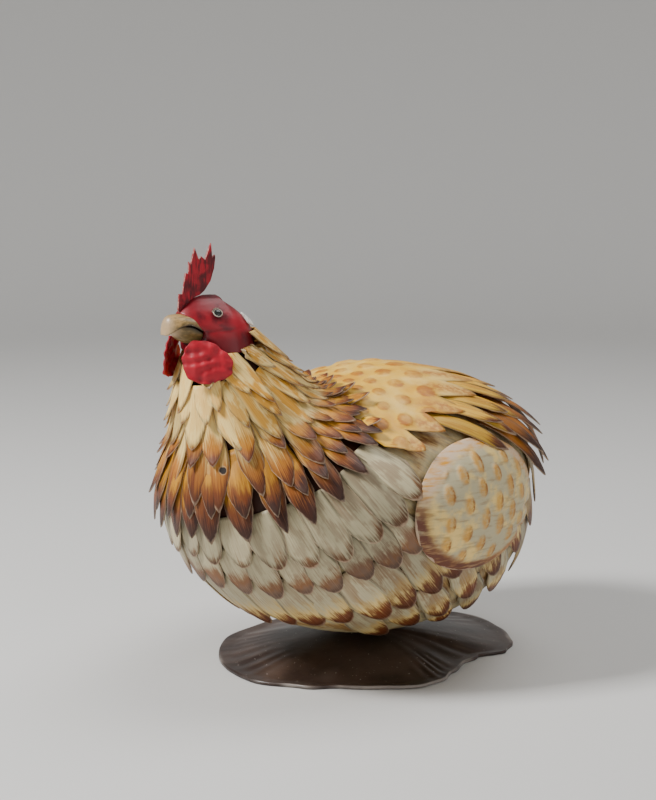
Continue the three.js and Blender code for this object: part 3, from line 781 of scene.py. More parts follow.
class HEN_OT_hackle(HenPart, bpy.types.Operator):
    """Long creased leaves round the neck and shoulders"""
    bl_idname = "hen.hackle"
    bl_label = "Hackle"

    def execute(self, context):
        z = self.sizes
        cream = leaf_material("Hackle cream")
        ochre = leaf_material("Hackle ochre")
        brown = leaf_material("Hackle brown")
        half = (z.nape_half, z.flank_half, z.breast_half)
        tips = HACKLE_TIPS
        # The rings of each row: leaves, roots, tips, rise off the skin, and offset in steps of the ring
        rows = [
            ("hackle_row_1", cream, "hackle_cream", [
                (12, (9, 9.5, 10), before(tips[0], 2), (0.0040, 0.0055, 0.0045), 0.0),
                (11, (9, 9.5, 10), before(tips[0], -2.5, 0), (0.0052, 0.0072, 0.0058), 0.5),
            ]),
            ("hackle_row_2", cream, "hackle_cream", [
                (16, before(tips[0], 5, 1.5), (19, 27, 24), (0.0046, 0.0066, 0.0080), 0.0),
                (16, before(tips[0], 5, 1.5), before(tips[1], -4, 0), (0.0038, 0.0056, 0.0068), 0.5),
            ]),
            ("hackle_row_3", ochre, "hackle_ochre", [
                (23, before(tips[1], 9, 3), (24, 42, 37), (0.0046, 0.0084, 0.0080), 0.0),
                (24, before(tips[1], 10, 3.5), before(tips[2], -2, 0), (0.0036, 0.0064, 0.0064), 0.5),
            ]),
            ("hackle_row_4", brown, "hackle_brown", [
                (29, before(tips[2], 14, 3), (29, 58, 52), (0.0046, 0.0080, 0.0080), 0.0),
                (30, before(tips[2], 16, 3.5), tips[3], (0.0036, 0.0062, 0.0062), 0.5),
            ]),
        ]
        for row, (node, material, slot, rings) in enumerate(rows):
            leaves = [
                leaf_ring(count, 0, 360, root, tip, half, rise, taper=9.5, offset=offset, jitter=z.jitter,
                          seed=z.seed + 2 * row + place_in_row, low=SEAT + 0.0012 * (row > 0))
                for place_in_row, (count, root, tip, rise, offset) in enumerate(rings)
            ]
            self.leaf_piece(node, leaves, material, slot, power=1.55)
        self.nape(cream)
        return {"FINISHED"}

    def nape(self, material):
        """Leaves that hang from the back of the head over the top of the neck."""
        dice = np.random.default_rng(self.sizes.seed + 60)
        bm = blank("leaf", "rim", "warm")
        for number in range(NAPE_LEAVES):
            middle = blend(-NAPE_ARC, NAPE_ARC, number / (NAPE_LEAVES - 1))
            seed = dice.uniform()
            verts, across, along = grid_into(bm, LEAF_COLUMNS, LEAF_ROWS)
            run = along * (1 - 0.62 * abs(across) ** 1.6)
            phi = middle + across * NAPE_ARC / NAPE_LEAVES * 1.45
            over = 0.0008 * (number % 2)
            up = NAPE_UP + 0 * phi
            top = on_head(180 - phi, up) + head_facing(180 - phi, up) * (NAPE_STANDOFF + over)
            low, normal = on_skin(NAPE_TIP + dice.normal(0, 0.5) + 0 * phi, phi)
            low = low + normal * (NAPE_LIFT + over)
            crease = 0.0012 * (1 - abs(across))
            place(verts, blend(top, low, run[:, None]) + normal * crease[:, None])
            write_uv(bm, verts, (across + 1) / 2, run)
            write_marks(bm, verts, leaf=seed, rim=np.maximum(abs(across), along), warm=1.0)
        turn_outward(bm)
        piece_from(bm, "nape_leaves", material, ["nape_row"], wall=self.sizes.leaf_wall)


class HEN_OT_breast(HenPart, bpy.types.Operator):
    """Brushed scallops over the breast, belly and rear"""
    bl_idname = "hen.breast"
    bl_label = "Breast and belly"

    def execute(self, context):
        z = self.sizes
        pale = leaf_material("Breast scallops")
        plain = leaf_material("Plain scallops")
        warm = leaf_material("Belly scallops")
        t = BREAST_TIPS
        # Each row: leaves, first and last place in degrees, roots, tips, and rise off the skin
        rows = [
            ("breast_row", plain, "body_skin", 17, 92, 268, before(HACKLE_TIPS[3], 8), t[0], 0.0044),
            ("belly_row_1", pale, "body_skin", 16, 104, 256, before(t[0], 6), t[1], 0.0038),
            ("belly_row_2", warm, "belly_tan", 16, 97, 263, before(t[1], 6), t[2], 0.0032),
            ("fluff_row_1", warm, "belly_tan", 20, -140, 140, before(t[2], 6), t[3], 0.0040),
            ("fluff_row_2", warm, "belly_tan", 13, -112, 112, before(t[3], 6), t[4], 0.0030),
        ]
        for number, (node, material, slot, count, start, end, root, tip, rise) in enumerate(rows):
            ring = leaf_ring(
                count, start, end, root, tip, evenly(z.scallop_half), evenly(rise), taper=11.0,
                crease=0.0006, jitter=z.jitter * 0.6, seed=z.seed + 20 + number, curl=0.0004, low=SEAT,
                roll=0.05, stagger=0.0008,
            )
            self.leaf_piece(node, [ring], material, slot, power=2.4)
        return {"FINISHED"}


# Back sheet: its reach to either side in degrees, its lobes, and the rows of ovals painted on it
BACK_REACH = 84
BACK_LOBES = 12
BACK_LOBE_CUT = 11
BACK_OVAL_ROWS = 4
BACK_OVAL_FIRST = 52
BACK_OVAL_STEP = 9.5
BACK_OVAL_APART = 16
BACK_OVAL_HALF_LENGTH = 3.4
BACK_OVAL_HALF_WIDTH = 4.8


class HEN_OT_saddle(HenPart, bpy.types.Operator):
    """Lobed back sheet with painted ovals, and the leaves below it"""
    bl_idname = "hen.saddle"
    bl_label = "Saddle and tail"

    def execute(self, context):
        z = self.sizes
        self.back_sheet()
        shoulder = leaf_material("Shoulder leaves")
        under = leaf_material("Saddle leaves")
        tail = leaf_material("Tail leaves")
        shoulder_rings = [
            leaf_ring(9, -74, 74, before(HACKLE_TIPS[3], 8), SHOULDER_TIPS, evenly(z.shoulder_half),
                      (0.0070, 0.0100, 0.0100), taper=9.0, jitter=z.jitter, seed=z.seed + 39),
        ]
        saddle, low, lowest = SADDLE_TIPS
        # Each ring: leaves, reach to either side in degrees, roots, tips, and rise off the skin
        rings = [
            leaf_ring(count, -reach, reach, root, tip, evenly(z.tail_half), evenly(rise), taper=6.0,
                      jitter=z.jitter, seed=z.seed + 40 + number)
            for number, (count, reach, root, tip, rise) in enumerate([
                (11, 56, before(saddle, 14), low, 0.0080),
                (10, 50, before(saddle, 14), before(low, 5), 0.0095),
                (11, 46, before(low, 12), lowest, 0.0130),
                (10, 42, before(low, 12), before(lowest, 6), 0.0148),
            ])
        ]
        for node, over, material, slot, name in (
            ("hackle_row_4", shoulder_rings, shoulder, "hackle_brown", "shoulder_leaves"),
            ("saddle_row", rings[:2], under, "saddle_yellow", None),
            ("tail_row", rings[2:], tail, "tail_brown", None),
        ):
            self.leaf_piece(node, over, material, slot, power=1.5, name=name)
        return {"FINISHED"}

    def back_sheet(self):
        k = self.paint
        bm = blank("leaf", "rim", "warm", "oval", "stripe")
        verts, across, along = grid_into(bm, BACK_LOBES * 12, 40)
        lobe_place = (across + 1) / 2 * BACK_LOBES
        wide = abs(2 * (lobe_place % 1) - 1)
        phi = BACK_REACH * across
        root = ring_value(*before(HACKLE_TIPS[3], 11, 4), phi)
        tip = ring_value(*SADDLE_TIPS[0], phi)
        edge = tip - BACK_LOBE_CUT * wide ** 1.4
        theta = blend(root, edge, along)
        run = (theta - root) / (tip - root)
        oval = np.zeros(len(verts))
        for row in range(BACK_OVAL_ROWS):
            over_theta = (theta - BACK_OVAL_FIRST - BACK_OVAL_STEP * row) / BACK_OVAL_HALF_LENGTH
            for column in range(-5, 6):
                middle = BACK_OVAL_APART * (column + row % 2 / 2)
                away = np.hypot(over_theta, (phi - middle) / BACK_OVAL_HALF_WIDTH)
                oval = np.maximum(oval, 1 - np.clip((away - 0.75) / 0.4, 0, 1))
        stripe = np.clip(1.4 - wide / 0.5, 0, 1) * ease((run - 0.60) / 0.22)
        p, normal = on_skin(theta, phi)
        lobe_lift = 0.0016 * (1 - wide) * np.clip(run * 3 - 2, 0, 1)
        lift = SEAT + SHEET + 0.0055 * run ** 1.6 + 0.0018 * oval + lobe_lift
        place(verts, p + normal * lift[:, None])
        write_uv(bm, verts, lobe_place, run)
        depth = (edge - theta) / np.maximum(edge - root, 1)
        rim = np.clip(1 - depth * 3, 0, 1)
        write_marks(bm, verts, leaf=0.5, rim=rim, warm=1.0, oval=oval, stripe=stripe)
        turn_outward(bm)
        s = Paint("Saddle", distance=0.0005)
        made = leaf_paint(s, "Saddle")
        smudge = s.noise(s.object_place(), 220.0, 4.0)
        blot = s.fade(smudge, 0.30, 0.62, 0.7, 1.0)
        oval_edge = s.shifted(s.mark("oval"), smudge, 0.5)
        cloud = s.noise(s.object_place(), 26.0, 4.0)
        color = s.mix(s.fade(cloud, 0.46, 0.64, 0.0, 0.6), made["Color"], k.cream)
        color = s.mix(s.fade(cloud, 0.50, 0.34, 0.0, 0.7), color, k.gold)
        strength = s.times(blot, s.fade(cloud, 0.60, 0.42, 0.35, 1.0))
        color = s.mix(s.times(s.fade(oval_edge, 0.3, 0.7), strength), color, k.ochre)
        striped = s.times(s.mark("stripe"), s.fade(smudge, 0.34, 0.60, 0.3, 0.9))
        material = s.finish(s.mix(striped, color, k.ochre), made["Height"], made["Roughness"])
        wall = self.sizes.leaf_wall
        piece_from(bm, "saddle_back", material, ["saddle_sheet"], wall=wall)


# Wing shell, an oval behind and below the egg's middle, with two slots in its rear edge
WING_BACK = 0.030
WING_DROP = 0.003
WING_HALF_LENGTH = 0.076
WING_HALF_HEIGHT = 0.053
WING_SLOTS = (-37, -13)
WING_RIM_LIFT = 0.0054
WING_DOME = 0.0090
WING_SLOT_CUT = 0.10
# Ovals embossed in the wing, from the front and the top
OVAL_COLUMNS = 6
OVAL_ROWS = 4
OVAL_FIRST = (-0.046, 0.036)
OVAL_APART = (0.0178, 0.0205)
OVAL_STAGGER = 0.010
OVAL_WOBBLE = 0.0015
OVAL_HALF_WIDTH = 0.0050
OVAL_HALF_HEIGHT = 0.0072
OVAL_EMBOSS = 0.0013
SLOT_CREASE = 0.0016


class HEN_OT_wings(HenPart, bpy.types.Operator):
    """Domed oval wing shells, embossed with ovals and slotted at the rear"""
    bl_idname = "hen.wings"
    bl_label = "Wings"

    def execute(self, context):
        material = self.wing_material()
        for side_name, side in SIDES:
            dice = np.random.default_rng(self.sizes.seed + 70)
            bm = blank("oval", "crease", "rim", "low", "fore", "right")
            verts, across, along = grid_into(bm, 120, 92)
            turn, share = disc_places(across, along)
            turn_degrees = np.degrees(turn)
            slots = [WING_SLOT_CUT * bell(turn_degrees - slot, 4.0) for slot in WING_SLOTS]
            reach = share * blend(1, 1 - np.max(slots, axis=0), share ** 4)
            y = reach * WING_HALF_LENGTH * np.cos(turn)
            z = reach * WING_HALF_HEIGHT * np.sin(turn)
            oval = np.zeros(len(verts))
            right = np.zeros(len(verts))
            for number in range(OVAL_COLUMNS * OVAL_ROWS):
                column, row = divmod(number, OVAL_ROWS)
                wobble = dice.uniform(-1, 1, 3)
                middle_y = OVAL_FIRST[0] + OVAL_APART[0] * column + OVAL_WOBBLE * wobble[0]
                middle_z = OVAL_FIRST[1] - OVAL_APART[1] * row - OVAL_STAGGER * (column % 2)
                over_y = (y - middle_y) / OVAL_HALF_WIDTH
                over_z = (z - middle_z - OVAL_WOBBLE * wobble[1]) / (OVAL_HALF_HEIGHT + 0.0012 * wobble[2])
                mound = 1 - np.clip((np.hypot(over_y, over_z) - 0.8) / 0.35, 0, 1)
                # Which side of its oval each point lies on, for the painted shade on the rear side of each
                # oval
                right = np.where(mound > oval, np.clip(over_y, -1, 1), right)
                oval = np.maximum(oval, mound)
            oval = oval * np.clip((0.84 - share) / 0.05, 0, 1)
            crease = np.zeros(len(verts))
            for slot in WING_SLOTS:
                outer = np.clip((share - 0.66) / 0.1, 0, 1)
                crease = np.maximum(crease, bell((turn_degrees - slot) * share, 2.6) * outer)
            start = np.stack([0 * y, EGG_Y + WING_BACK + y, EGG_Z - WING_DROP + z], axis=1)
            p = leave_skin(start, np.broadcast_to(ACROSS, start.shape))
            lift = WING_RIM_LIFT + WING_DOME * (1 - share ** 2.6)
            lift = lift + OVAL_EMBOSS * oval - SLOT_CREASE * crease
            p = p + skin_normal(p) * lift[:, None]
            place(verts, p, side)
            low = np.clip(-z / WING_HALF_HEIGHT, -1, 1)
            fore = np.clip(-y / WING_HALF_LENGTH, -1, 1)
            write_marks(bm, verts, oval=oval, crease=crease, rim=share, low=low, fore=fore, right=right)
            turn_outward(bm)
            name = f"wing_{side_name}"
            piece_from(bm, f"{name}_shell", material, [name], wall=SHEET)
        return {"FINISHED"}

    def wing_material(self):
        k = self.paint
        s = Paint("Wing paint")
        spot = s.object_place()
        strokes = s.drawn_out((60, 60, 300), 4.0)
        broad = s.noise(spot, 45.0, 4.0)
        smudge = s.noise(spot, 260.0, 3.0)
        color = s.mix(s.fade(broad, 0.34, 0.54), k.cream, k.skin)
        color = s.mix(s.fade(strokes, 0.48, 0.72, 0.0, 0.45), color, k.tan)
        oval = s.times(s.mark("oval"), s.fade(smudge, 0.30, 0.60, 0.35, 0.75))
        color = s.mix(oval, color, k.gold)
        # Painted shade: brown on the rear side of each embossed oval, away from the light
        shaded = s.times(s.fade(s.mark("right"), -0.1, 0.8), s.mark("oval"))
        color = s.mix(s.times(shaded, s.fade(smudge, 0.36, 0.60, 0.1, 0.8)), color, k.brown)
        edge = s.shifted(s.mark("rim"), broad, 0.16)
        band = s.fade(edge, 0.76, 0.90)
        peach = s.times(band, s.fade(s.mark("low"), 0.1, -0.5))
        color = s.mix(peach, color, s.mix(s.fade(strokes, 0.4, 0.7), k.white, k.gold))
        fringe = s.times(band, s.fade(s.mark("low"), 0.1, 0.6))
        color = s.mix(s.times(fringe, s.fade(strokes, 0.3, 0.6, 0.5, 1.0)), color, k.ochre)
        fore_low = s.plus(s.mark("low"), s.mark("fore"))
        dark = s.times(band, s.fade(fore_low, 0.3, 1.0))
        color = s.mix(s.times(dark, s.fade(strokes, 0.3, 0.55, 0.4, 1.0)), color, k.plum)
        color = s.mix(s.times(s.mark("crease"), s.fade(smudge, 0.3, 0.5)), color, k.white)
        color = s.mix(s.fade(edge, 0.985, 1.0, 0.0, 0.7), color, k.white)
        return s.finish(color, s.plus(strokes, smudge))


# Head: level sections above its seat, as height, front, back and half width
HEAD_Y = NECK_TOP[1] + 0.004
HEAD_BOTTOM = HEAD_SEAT_Z + GAP
HEAD_UP = np.array([0, 8, 16, 24, 30, 36, 40.5, 43.5, 45]) / 1000
HEAD_FRONT = np.array([27, 29, 34, 38.5, 37, 31.5, 25, 19, 12]) / 1000
HEAD_BACK = np.array([33, 32.5, 31, 25.5, 19, 10.5, 1.5, -6, -12]) / 1000
HEAD_HALF = np.array([33, 31.5, 29, 25.5, 22, 17, 12, 6.5, 0]) / 1000
HEAD_TAPER = 0.16
HEAD_WALL_SHARE = 0.92

# The gape, the front of the head cleared for the beak, and the beak
GAPE_Y = HEAD_Y - 0.022
GAPE_UP = 0.0165
GAPE_Z = HEAD_BOTTOM + GAPE_UP
CLEAR_HEIGHT = 0.041
CLEAR_DEPTH = 0.036
BEAK_LENGTH = 0.029
BEAK_HEIGHT = 0.0145
BEAK_HALF_WIDTH = 0.017
BEAK_ARCH = 0.0062
LOWER_BEAK_LENGTH = 0.022
LOWER_BEAK_DEPTH = 0.0105
LOWER_BEAK_INSET = 0.0015
BEAK_TIP = (0.52, 0.36, 0.21, 1)
BEAK_LIP = (0.018, 0.012, 0.008, 1)


def smooth_between(x, xs, ys):
    """A smooth curve through points, by a cubic fitted to neighbouring slopes."""
    slopes = np.gradient(ys, xs)
    i = np.clip(np.searchsorted(xs, x) - 1, 0, len(xs) - 2)
    step = xs[i + 1] - xs[i]
    t = np.clip((x - xs[i]) / step, 0, 1)
    return ((2 * t ** 3 - 3 * t ** 2 + 1) * ys[i] + (t ** 3 - 2 * t ** 2 + t) * step * slopes[i]
            + (-2 * t ** 3 + 3 * t ** 2) * ys[i + 1] + (t ** 3 - t ** 2) * step * slopes[i + 1])


def on_head(turn, up):
    """Points on the head's wall. Turn 0 is forward and 90 is the hen's left, in degrees."""
    t = np.radians(turn)
    forward = np.cos(t)
    front = smooth_between(up, HEAD_UP, HEAD_FRONT)
    back = smooth_between(up, HEAD_UP, HEAD_BACK)
    half = np.maximum(smooth_between(up, HEAD_UP, HEAD_HALF), 0)
    x = half * np.sin(t) * (1 - HEAD_TAPER * np.clip(forward, 0, 1))
    y = HEAD_Y - np.where(forward > 0, front * forward, back * forward)
    return np.stack([x, y, HEAD_BOTTOM + up + 0 * x], axis=1)


def head_facing(turn, up):
    turn = np.asarray(turn, float)
    up = np.asarray(up, float)
    here = on_head(turn, up)
    return unit(np.cross(on_head(turn + 3, up) - here, on_head(turn, up + 0.0015) - here))


# Ear tab: a small pale leaf behind the eye
EAR_TURN = 122
EAR_SWEEP = 22
EAR_UP = 0.025
EAR_FALL = 0.006
EAR_WIDTH = 0.008
EAR_STANDOFF = 0.0019
EAR_WHITE = (0.90, 0.88, 0.82, 1)
EAR_FLECK = (0.60, 0.52, 0.42, 1)


class HEN_OT_head(HenPart, bpy.types.Operator):
    """Red face sheet with a crease from the gape, and its small pale ear tabs"""
    bl_idname = "hen.head"
    bl_label = "Head"

    def execute(self, context):
        k = self.paint
        bm = blank("dark", "cheek")
        verts, across, along = grid_into(bm, 96, 72)
        turn = 180 * across
        wall = np.clip(along / HEAD_WALL_SHARE, 0, 1)
        up = HEAD_UP[-1] * (1 - wall ** 1.15)
        p = on_head(turn, up)
        floor_share = np.clip((along - HEAD_WALL_SHARE) / (1 - HEAD_WALL_SHARE), 0, 1)
        centre = np.array([0, HEAD_Y, HEAD_BOTTOM])
        p = np.where(floor_share[:, None] > 0, blend(p, centre, floor_share[:, None]), p)
        p = np.where(wall[:, None] <= 0, on_head(0 * turn, up)[:1], p)
        side_turn = abs(turn)
        line_up = GAPE_UP + 0.003 * np.sin(np.radians(np.clip(side_turn - 40, 0, 140)))
        crease = bell(up - line_up, 0.0013) * ease((side_turn - 38) / 12) * ease((120 - side_turn) / 40)
        # Cheek: a raised patch on each side, painted a brighter red as painted light on the upper cheek
        cheek = bell(up - 0.024, 0.008) * bell(side_turn - 108, 26)
        # The jaw band is darkened as painted shade under the head; the crown is darkened too
        jaw = 1 - ease((up - 0.008) / 0.008)
        crown = ease((up - 0.030) / 0.008)
        out = p - np.array([0, HEAD_Y, HEAD_BOTTOM + 0.015])
        out[:, 2] = 0
        out = out / np.maximum(np.linalg.norm(out, axis=1), 0.001)[:, None]
        keep = (floor_share <= 0) & (wall > 0)
        p = p + out * (keep * (0.0012 * cheek - 0.0005 * crease))[:, None]
        self.clear_beak(p)
        place(verts, p)
        # The dark mark: painted shade on the jaw and in the crease from the gape, plus a darker crown
        write_marks(bm, verts, dark=np.clip(0.9 * jaw + 0.8 * crown + 0.3 * crease, 0, 1), cheek=cheek)
        close_tube(bm)
        s = Paint("Red face", roughness=0.42, coat=0.12, bump=0.4, distance=0.0009)
        hammered = s.group("Hammered sheet", Dents=110.0, Grain=700.0)
        color = s.mix(s.fade(hammered["Patches"], 0.34, 0.52), k.dark_red, k.red)
        # Painted light: brighter red on the upper cheek
        color = s.mix(s.fade(s.mark("cheek"), 0.1, 0.7, 0.0, 0.85), color, k.wattle)
        # Painted shade on the jaw and in the crease, and a darker crown, from the dark mark
        color = s.mix(s.times(s.mark("dark"), 0.7), color, k.dark_red)
        material = s.finish(color, hammered["Height"])
        piece_from(bm, "face", material, ["head"])
        self.ear_tabs()
        return {"FINISHED"}

    def clear_beak(self, p):
        """Flattens the front of the head behind the two halves of the beak."""
        over = p[:, 2] - GAPE_Z
        upper = (over > 0) & (over < CLEAR_HEIGHT)
        limit = np.where(upper, GAPE_Y - CLEAR_DEPTH * over / CLEAR_HEIGHT, GAPE_Y)
        inside = (over > -LOWER_BEAK_DEPTH) & (over < CLEAR_HEIGHT)
        p[:, 1] = np.where(inside, np.maximum(p[:, 1], limit), p[:, 1])

    def ear_tabs(self):
        s = Paint("Ear tab", roughness=0.5)
        flecks = s.noise(s.object_place(), 240.0, 4.0)
        material = s.finish(s.mix(s.fade(flecks, 0.45, 0.75), EAR_WHITE, EAR_FLECK), flecks)
        for side_name, side in SIDES:
            bm = blank()
            verts, across, along = grid_into(bm, 8, 12)
            turn = EAR_TURN + along * EAR_SWEEP
            spread = across * (1 - 0.5 * along ** 2)
            up = EAR_UP - along * EAR_FALL + spread * EAR_WIDTH / 2
            p = on_head(turn, up) + head_facing(turn, up) * (EAR_STANDOFF + SHEET)
            place(verts, p, side)
            turn_outward(bm)
            piece_from(bm, f"ear_{side_name}", material, [f"ear_tab_{side_name}"], wall=SHEET)


class HEN_OT_beak(HenPart, bpy.types.Operator):
    """Hooked upper half and short lower half of the beak"""
    bl_idname = "hen.beak"
    bl_label = "Beak"

    def execute(self, context):
        k = self.paint
        upper = self.beak_material("Beak paint", k.beak, k.beak_dark, 0.62)
        lower = self.beak_material("Lower beak paint", k.beak_dark, k.beak, 0.80)
        self.half("beak_top", "beak_upper", upper, self.upper_section)
        self.half("beak_under", "beak_lower", lower, self.lower_section)
        return {"FINISHED"}

    def gape_line(self, s):
        """How far the line between the halves arches, falling to a hook at the tip."""
        return BEAK_ARCH * np.sin(np.pi * s ** 1.1 / 0.9)

    def upper_section(self, s):
        y = GAPE_Y - BEAK_LENGTH * s
        half = BEAK_HALF_WIDTH * np.sqrt(1 - 0.96 * s ** 1.8)
        edge = GAPE_Z + GAP + self.gape_line(s)
        ridge = GAPE_Z + GAP + BEAK_HEIGHT * np.maximum(0.1, np.sqrt(np.maximum(1 - s ** 11, 0)))
        return y, half, edge, ridge

    def lower_section(self, s):
        y = GAPE_Y - GAP - LOWER_BEAK_LENGTH * s
        half = (BEAK_HALF_WIDTH - LOWER_BEAK_INSET) * np.sqrt(1 - 0.9 * s ** 1.8)
        edge = GAPE_Z - GAP + self.gape_line(s * LOWER_BEAK_LENGTH / BEAK_LENGTH)
        ridge = GAPE_Z - (LOWER_BEAK_DEPTH - GAP) * (1 - s ** 2.4)
        return y, half, edge, ridge

    def half(self, name, node, material, section):
        bm = blank("run", "lip")
        verts, across, along = grid_into(bm, 48, 36)
        end = 0.04
        run = np.clip((along - end) / (1 - 2 * end), 0, 1)
        y, half, edge, ridge = section(run)
        turn = np.pi * (across + 1)
        close = np.clip(np.minimum(along, 1 - along) / end, 0, 1)
        x = half * np.cos(turn)
        arch = np.clip(np.sin(turn), 0, 1)
        z = edge + (ridge - edge) * arch
        middle = (edge + ridge) / 2
        place(verts, np.stack([x * close, y, middle + (z - middle) * close], axis=1))
        write_marks(bm, verts, run=run, lip=1 - ease(arch / 0.25))
        close_tube(bm)
        piece_from(bm, name, material, [node])

    def beak_material(self, name, base, other, from_share):
        s = Paint(name, roughness=0.42, coat=0.2, bump=0.2)
        streaks = s.drawn_out((400, 80, 400), 4.0)
        blots = s.noise(s.object_place(), 170.0, 4.0)
        color = s.mix(s.fade(streaks, 0.42, from_share, 0.0, 0.7), base, other)
        color = s.mix(s.fade(blots, 0.50, 0.66, 0.0, 0.7), color, self.paint.beak_dark)
        color = s.mix(s.fade(s.mark("run"), 0.70, 0.98, 0.0, 0.7), color, BEAK_TIP)
        lip = s.times(s.mark("lip"), s.fade(s.mark("run"), 0.95, 0.55))
        return s.finish(s.mix(lip, color, BEAK_LIP), streaks)


# Comb: its height, its sheet, its worn edge and its base forward of the head's middle
COMB_HEIGHT = 0.042
COMB_WALL = 0.002
COMB_BEVEL = 0.0004
COMB_WORN = (0.46, 0.24, 0.20, 1)
COMB_BASE_REAR = 0.015
COMB_BASE_FRONT = 0.0355
# Comb outline, forward of the head's middle and above the crown, as shares of its height
COMB_OUTLINE = [
    (0.87, -0.24), (0.84, 0.06), (0.76, 0.05), (0.68, 0.46), (0.61, 0.42), (0.6, 0.67),
    (0.56, 0.6), (0.46, 0.93), (0.36, 0.68), (0.31, 0.76), (0.22, 0.68), (0.07, 1.0),
    (0.045, 0.71), (-0.02, 0.77), (-0.03, 0.69), (0, 0.5), (0.09, 0.26), (0.24, 0.08),
]


class HEN_OT_comb(HenPart, bpy.types.Operator):
    """Thin upright comb with ragged teeth"""
    bl_idname = "hen.comb"
    bl_label = "Comb"

    def execute(self, context):
        k = self.paint
        crown = HEAD_BOTTOM + HEAD_UP[-1]
        bm = bmesh.new()
        x = -COMB_WALL / 2
        outline = [(x, HEAD_Y - f * COMB_HEIGHT, crown + u * COMB_HEIGHT) for f, u in COMB_OUTLINE]
        base = []
        for share in np.linspace(0, 1, 6):
            forward = blend(COMB_BASE_REAR, COMB_BASE_FRONT, share)
            top = float(np.interp(forward, HEAD_FRONT[::-1][:5], HEAD_UP[::-1][:5]))
            base.append((x, HEAD_Y - forward, HEAD_BOTTOM + top + 2 * GAP))
        face = bm.faces.new([bm.verts.new(point) for point in base + outline])
        bmesh.ops.triangulate(bm, faces=[face])
        turn_toward(bm, ACROSS)
        s = Paint("Comb red", roughness=0.45, coat=0.10, bump=0.5, distance=0.001)
        hammered = s.group("Hammered sheet", Dents=150.0, Grain=800.0)
        ridges = s.drawn_out((1, 420, 60), 2.0)
        color = s.mix(s.fade(ridges, 0.36, 0.56), k.dark_red, k.wattle)
        color = s.mix(s.fade(hammered["Patches"], 0.40, 0.55), k.dark_red, color)
        material = s.finish(color, s.plus(ridges, hammered["Height"]))
        piece = piece_from(bm, "comb_sheet", material, ["comb"], wall=COMB_WALL,
                           bevel=COMB_BEVEL, smooth=False)
        piece.modifiers["Sheet"].offset = 1
        s = Paint("Comb edge", roughness=0.5, coat=0.1, bump=0.2)
        flecks = s.noise(s.object_place(), 300.0, 3.0)
        piece.data.materials.append(s.finish(s.mix(s.fade(flecks, 0.35, 0.60), COMB_WORN, k.red), flecks))
        piece.modifiers["Sheet"].material_offset_rim = 1
        return {"FINISHED"}


# Left wattle: its middle, the ways its length and its width run, and its sizes
WATTLE_MIDDLE = np.array([0.0255, HEAD_Y - 0.027, HEAD_BOTTOM - 0.0065])
WATTLE_REARWARD = unit([0.6, 0.75, -0.35])
WATTLE_DOWN = unit([-0.1, -0.36, -0.93])
WATTLE_HALF_LENGTH = 0.021
WATTLE_HALF_WIDTH = 0.017
WATTLE_WALL = 0.0016


class HEN_OT_wattles(HenPart, bpy.types.Operator):
    """Two crinkled oval wattles below the beak"""
    bl_idname = "hen.wattles"
    bl_label = "Wattles"

    def execute(self, context):
        k = self.paint
        s = Paint("Wattle red", roughness=0.50, bump=0.35, distance=0.0008)
        hammered = s.group("Hammered sheet", Dents=170.0, Grain=800.0)
        # Painted shade: darker red in the hollows between the hammered lumps
        color = s.mix(s.fade(s.mark("hollow"), 0.45, 1.0, 0.0, 0.6), k.wattle, k.dark_red)
        color = s.mix(s.fade(hammered["Patches"], 0.48, 0.62, 0.0, 0.5), color, k.red)
        material = s.finish(color, hammered["Height"])
        outward = unit(np.cross(WATTLE_DOWN, WATTLE_REARWARD))
        for side_name, side in SIDES:
            bm = blank("hollow")
            verts, across, along = grid_into(bm, 48, 48)
            turn, share = disc_places(across, along)
            wave = 0.06 * np.cos(3 * turn + 0.6) + 0.025 * np.sin(7 * turn) + 0.015 * np.sin(13 * turn + 1)
            reach = share * (1 + wave)
            x = reach * np.cos(turn)
            y = reach * np.sin(turn)
            lumps = (np.sin(5.0 * x + 2.6 * np.sin(3.1 * y) + 0.5) * np.cos(4.2 * y + 2.4 * np.sin(2.7 * x))
                     + 0.4 * np.sin(11 * x + 3 * y + 1) * np.sin(9 * y - 4 * x))
            raised = SHEET - 0.0022 * share ** 2 + 0.0011 * lumps
            p = WATTLE_MIDDLE + outward * raised[:, None]
            p = p + WATTLE_REARWARD * (WATTLE_HALF_LENGTH * x)[:, None]
            p = p + WATTLE_DOWN * (WATTLE_HALF_WIDTH * y)[:, None]
            place(verts, p, side)
            # The hollow mark, high where the lumps dip, carries the painted shade in the hollows
            write_marks(bm, verts, hollow=0.5 - 0.35 * lumps)
            turn_toward(bm, (side, 0, 0))
            name = f"wattle_{side_name}"
            piece_from(bm, f"{name}_sheet", material, [name], wall=WATTLE_WALL)
        return {"FINISHED"}


# Left eye: its place on the head, its size and its colours
EYE_TURN = 72.0
EYE_UP = 0.031
EYE_STANDOFF = 0.0019
EYE_HALF_LENGTH = 0.0045
EYE_HALF_HEIGHT = 0.0042
EYE_DARK = (0.016, 0.020, 0.017, 1)
EYE_RING = (0.55, 0.46, 0.36, 1)
EYE_RIM = (0.05, 0.010, 0.012, 1)


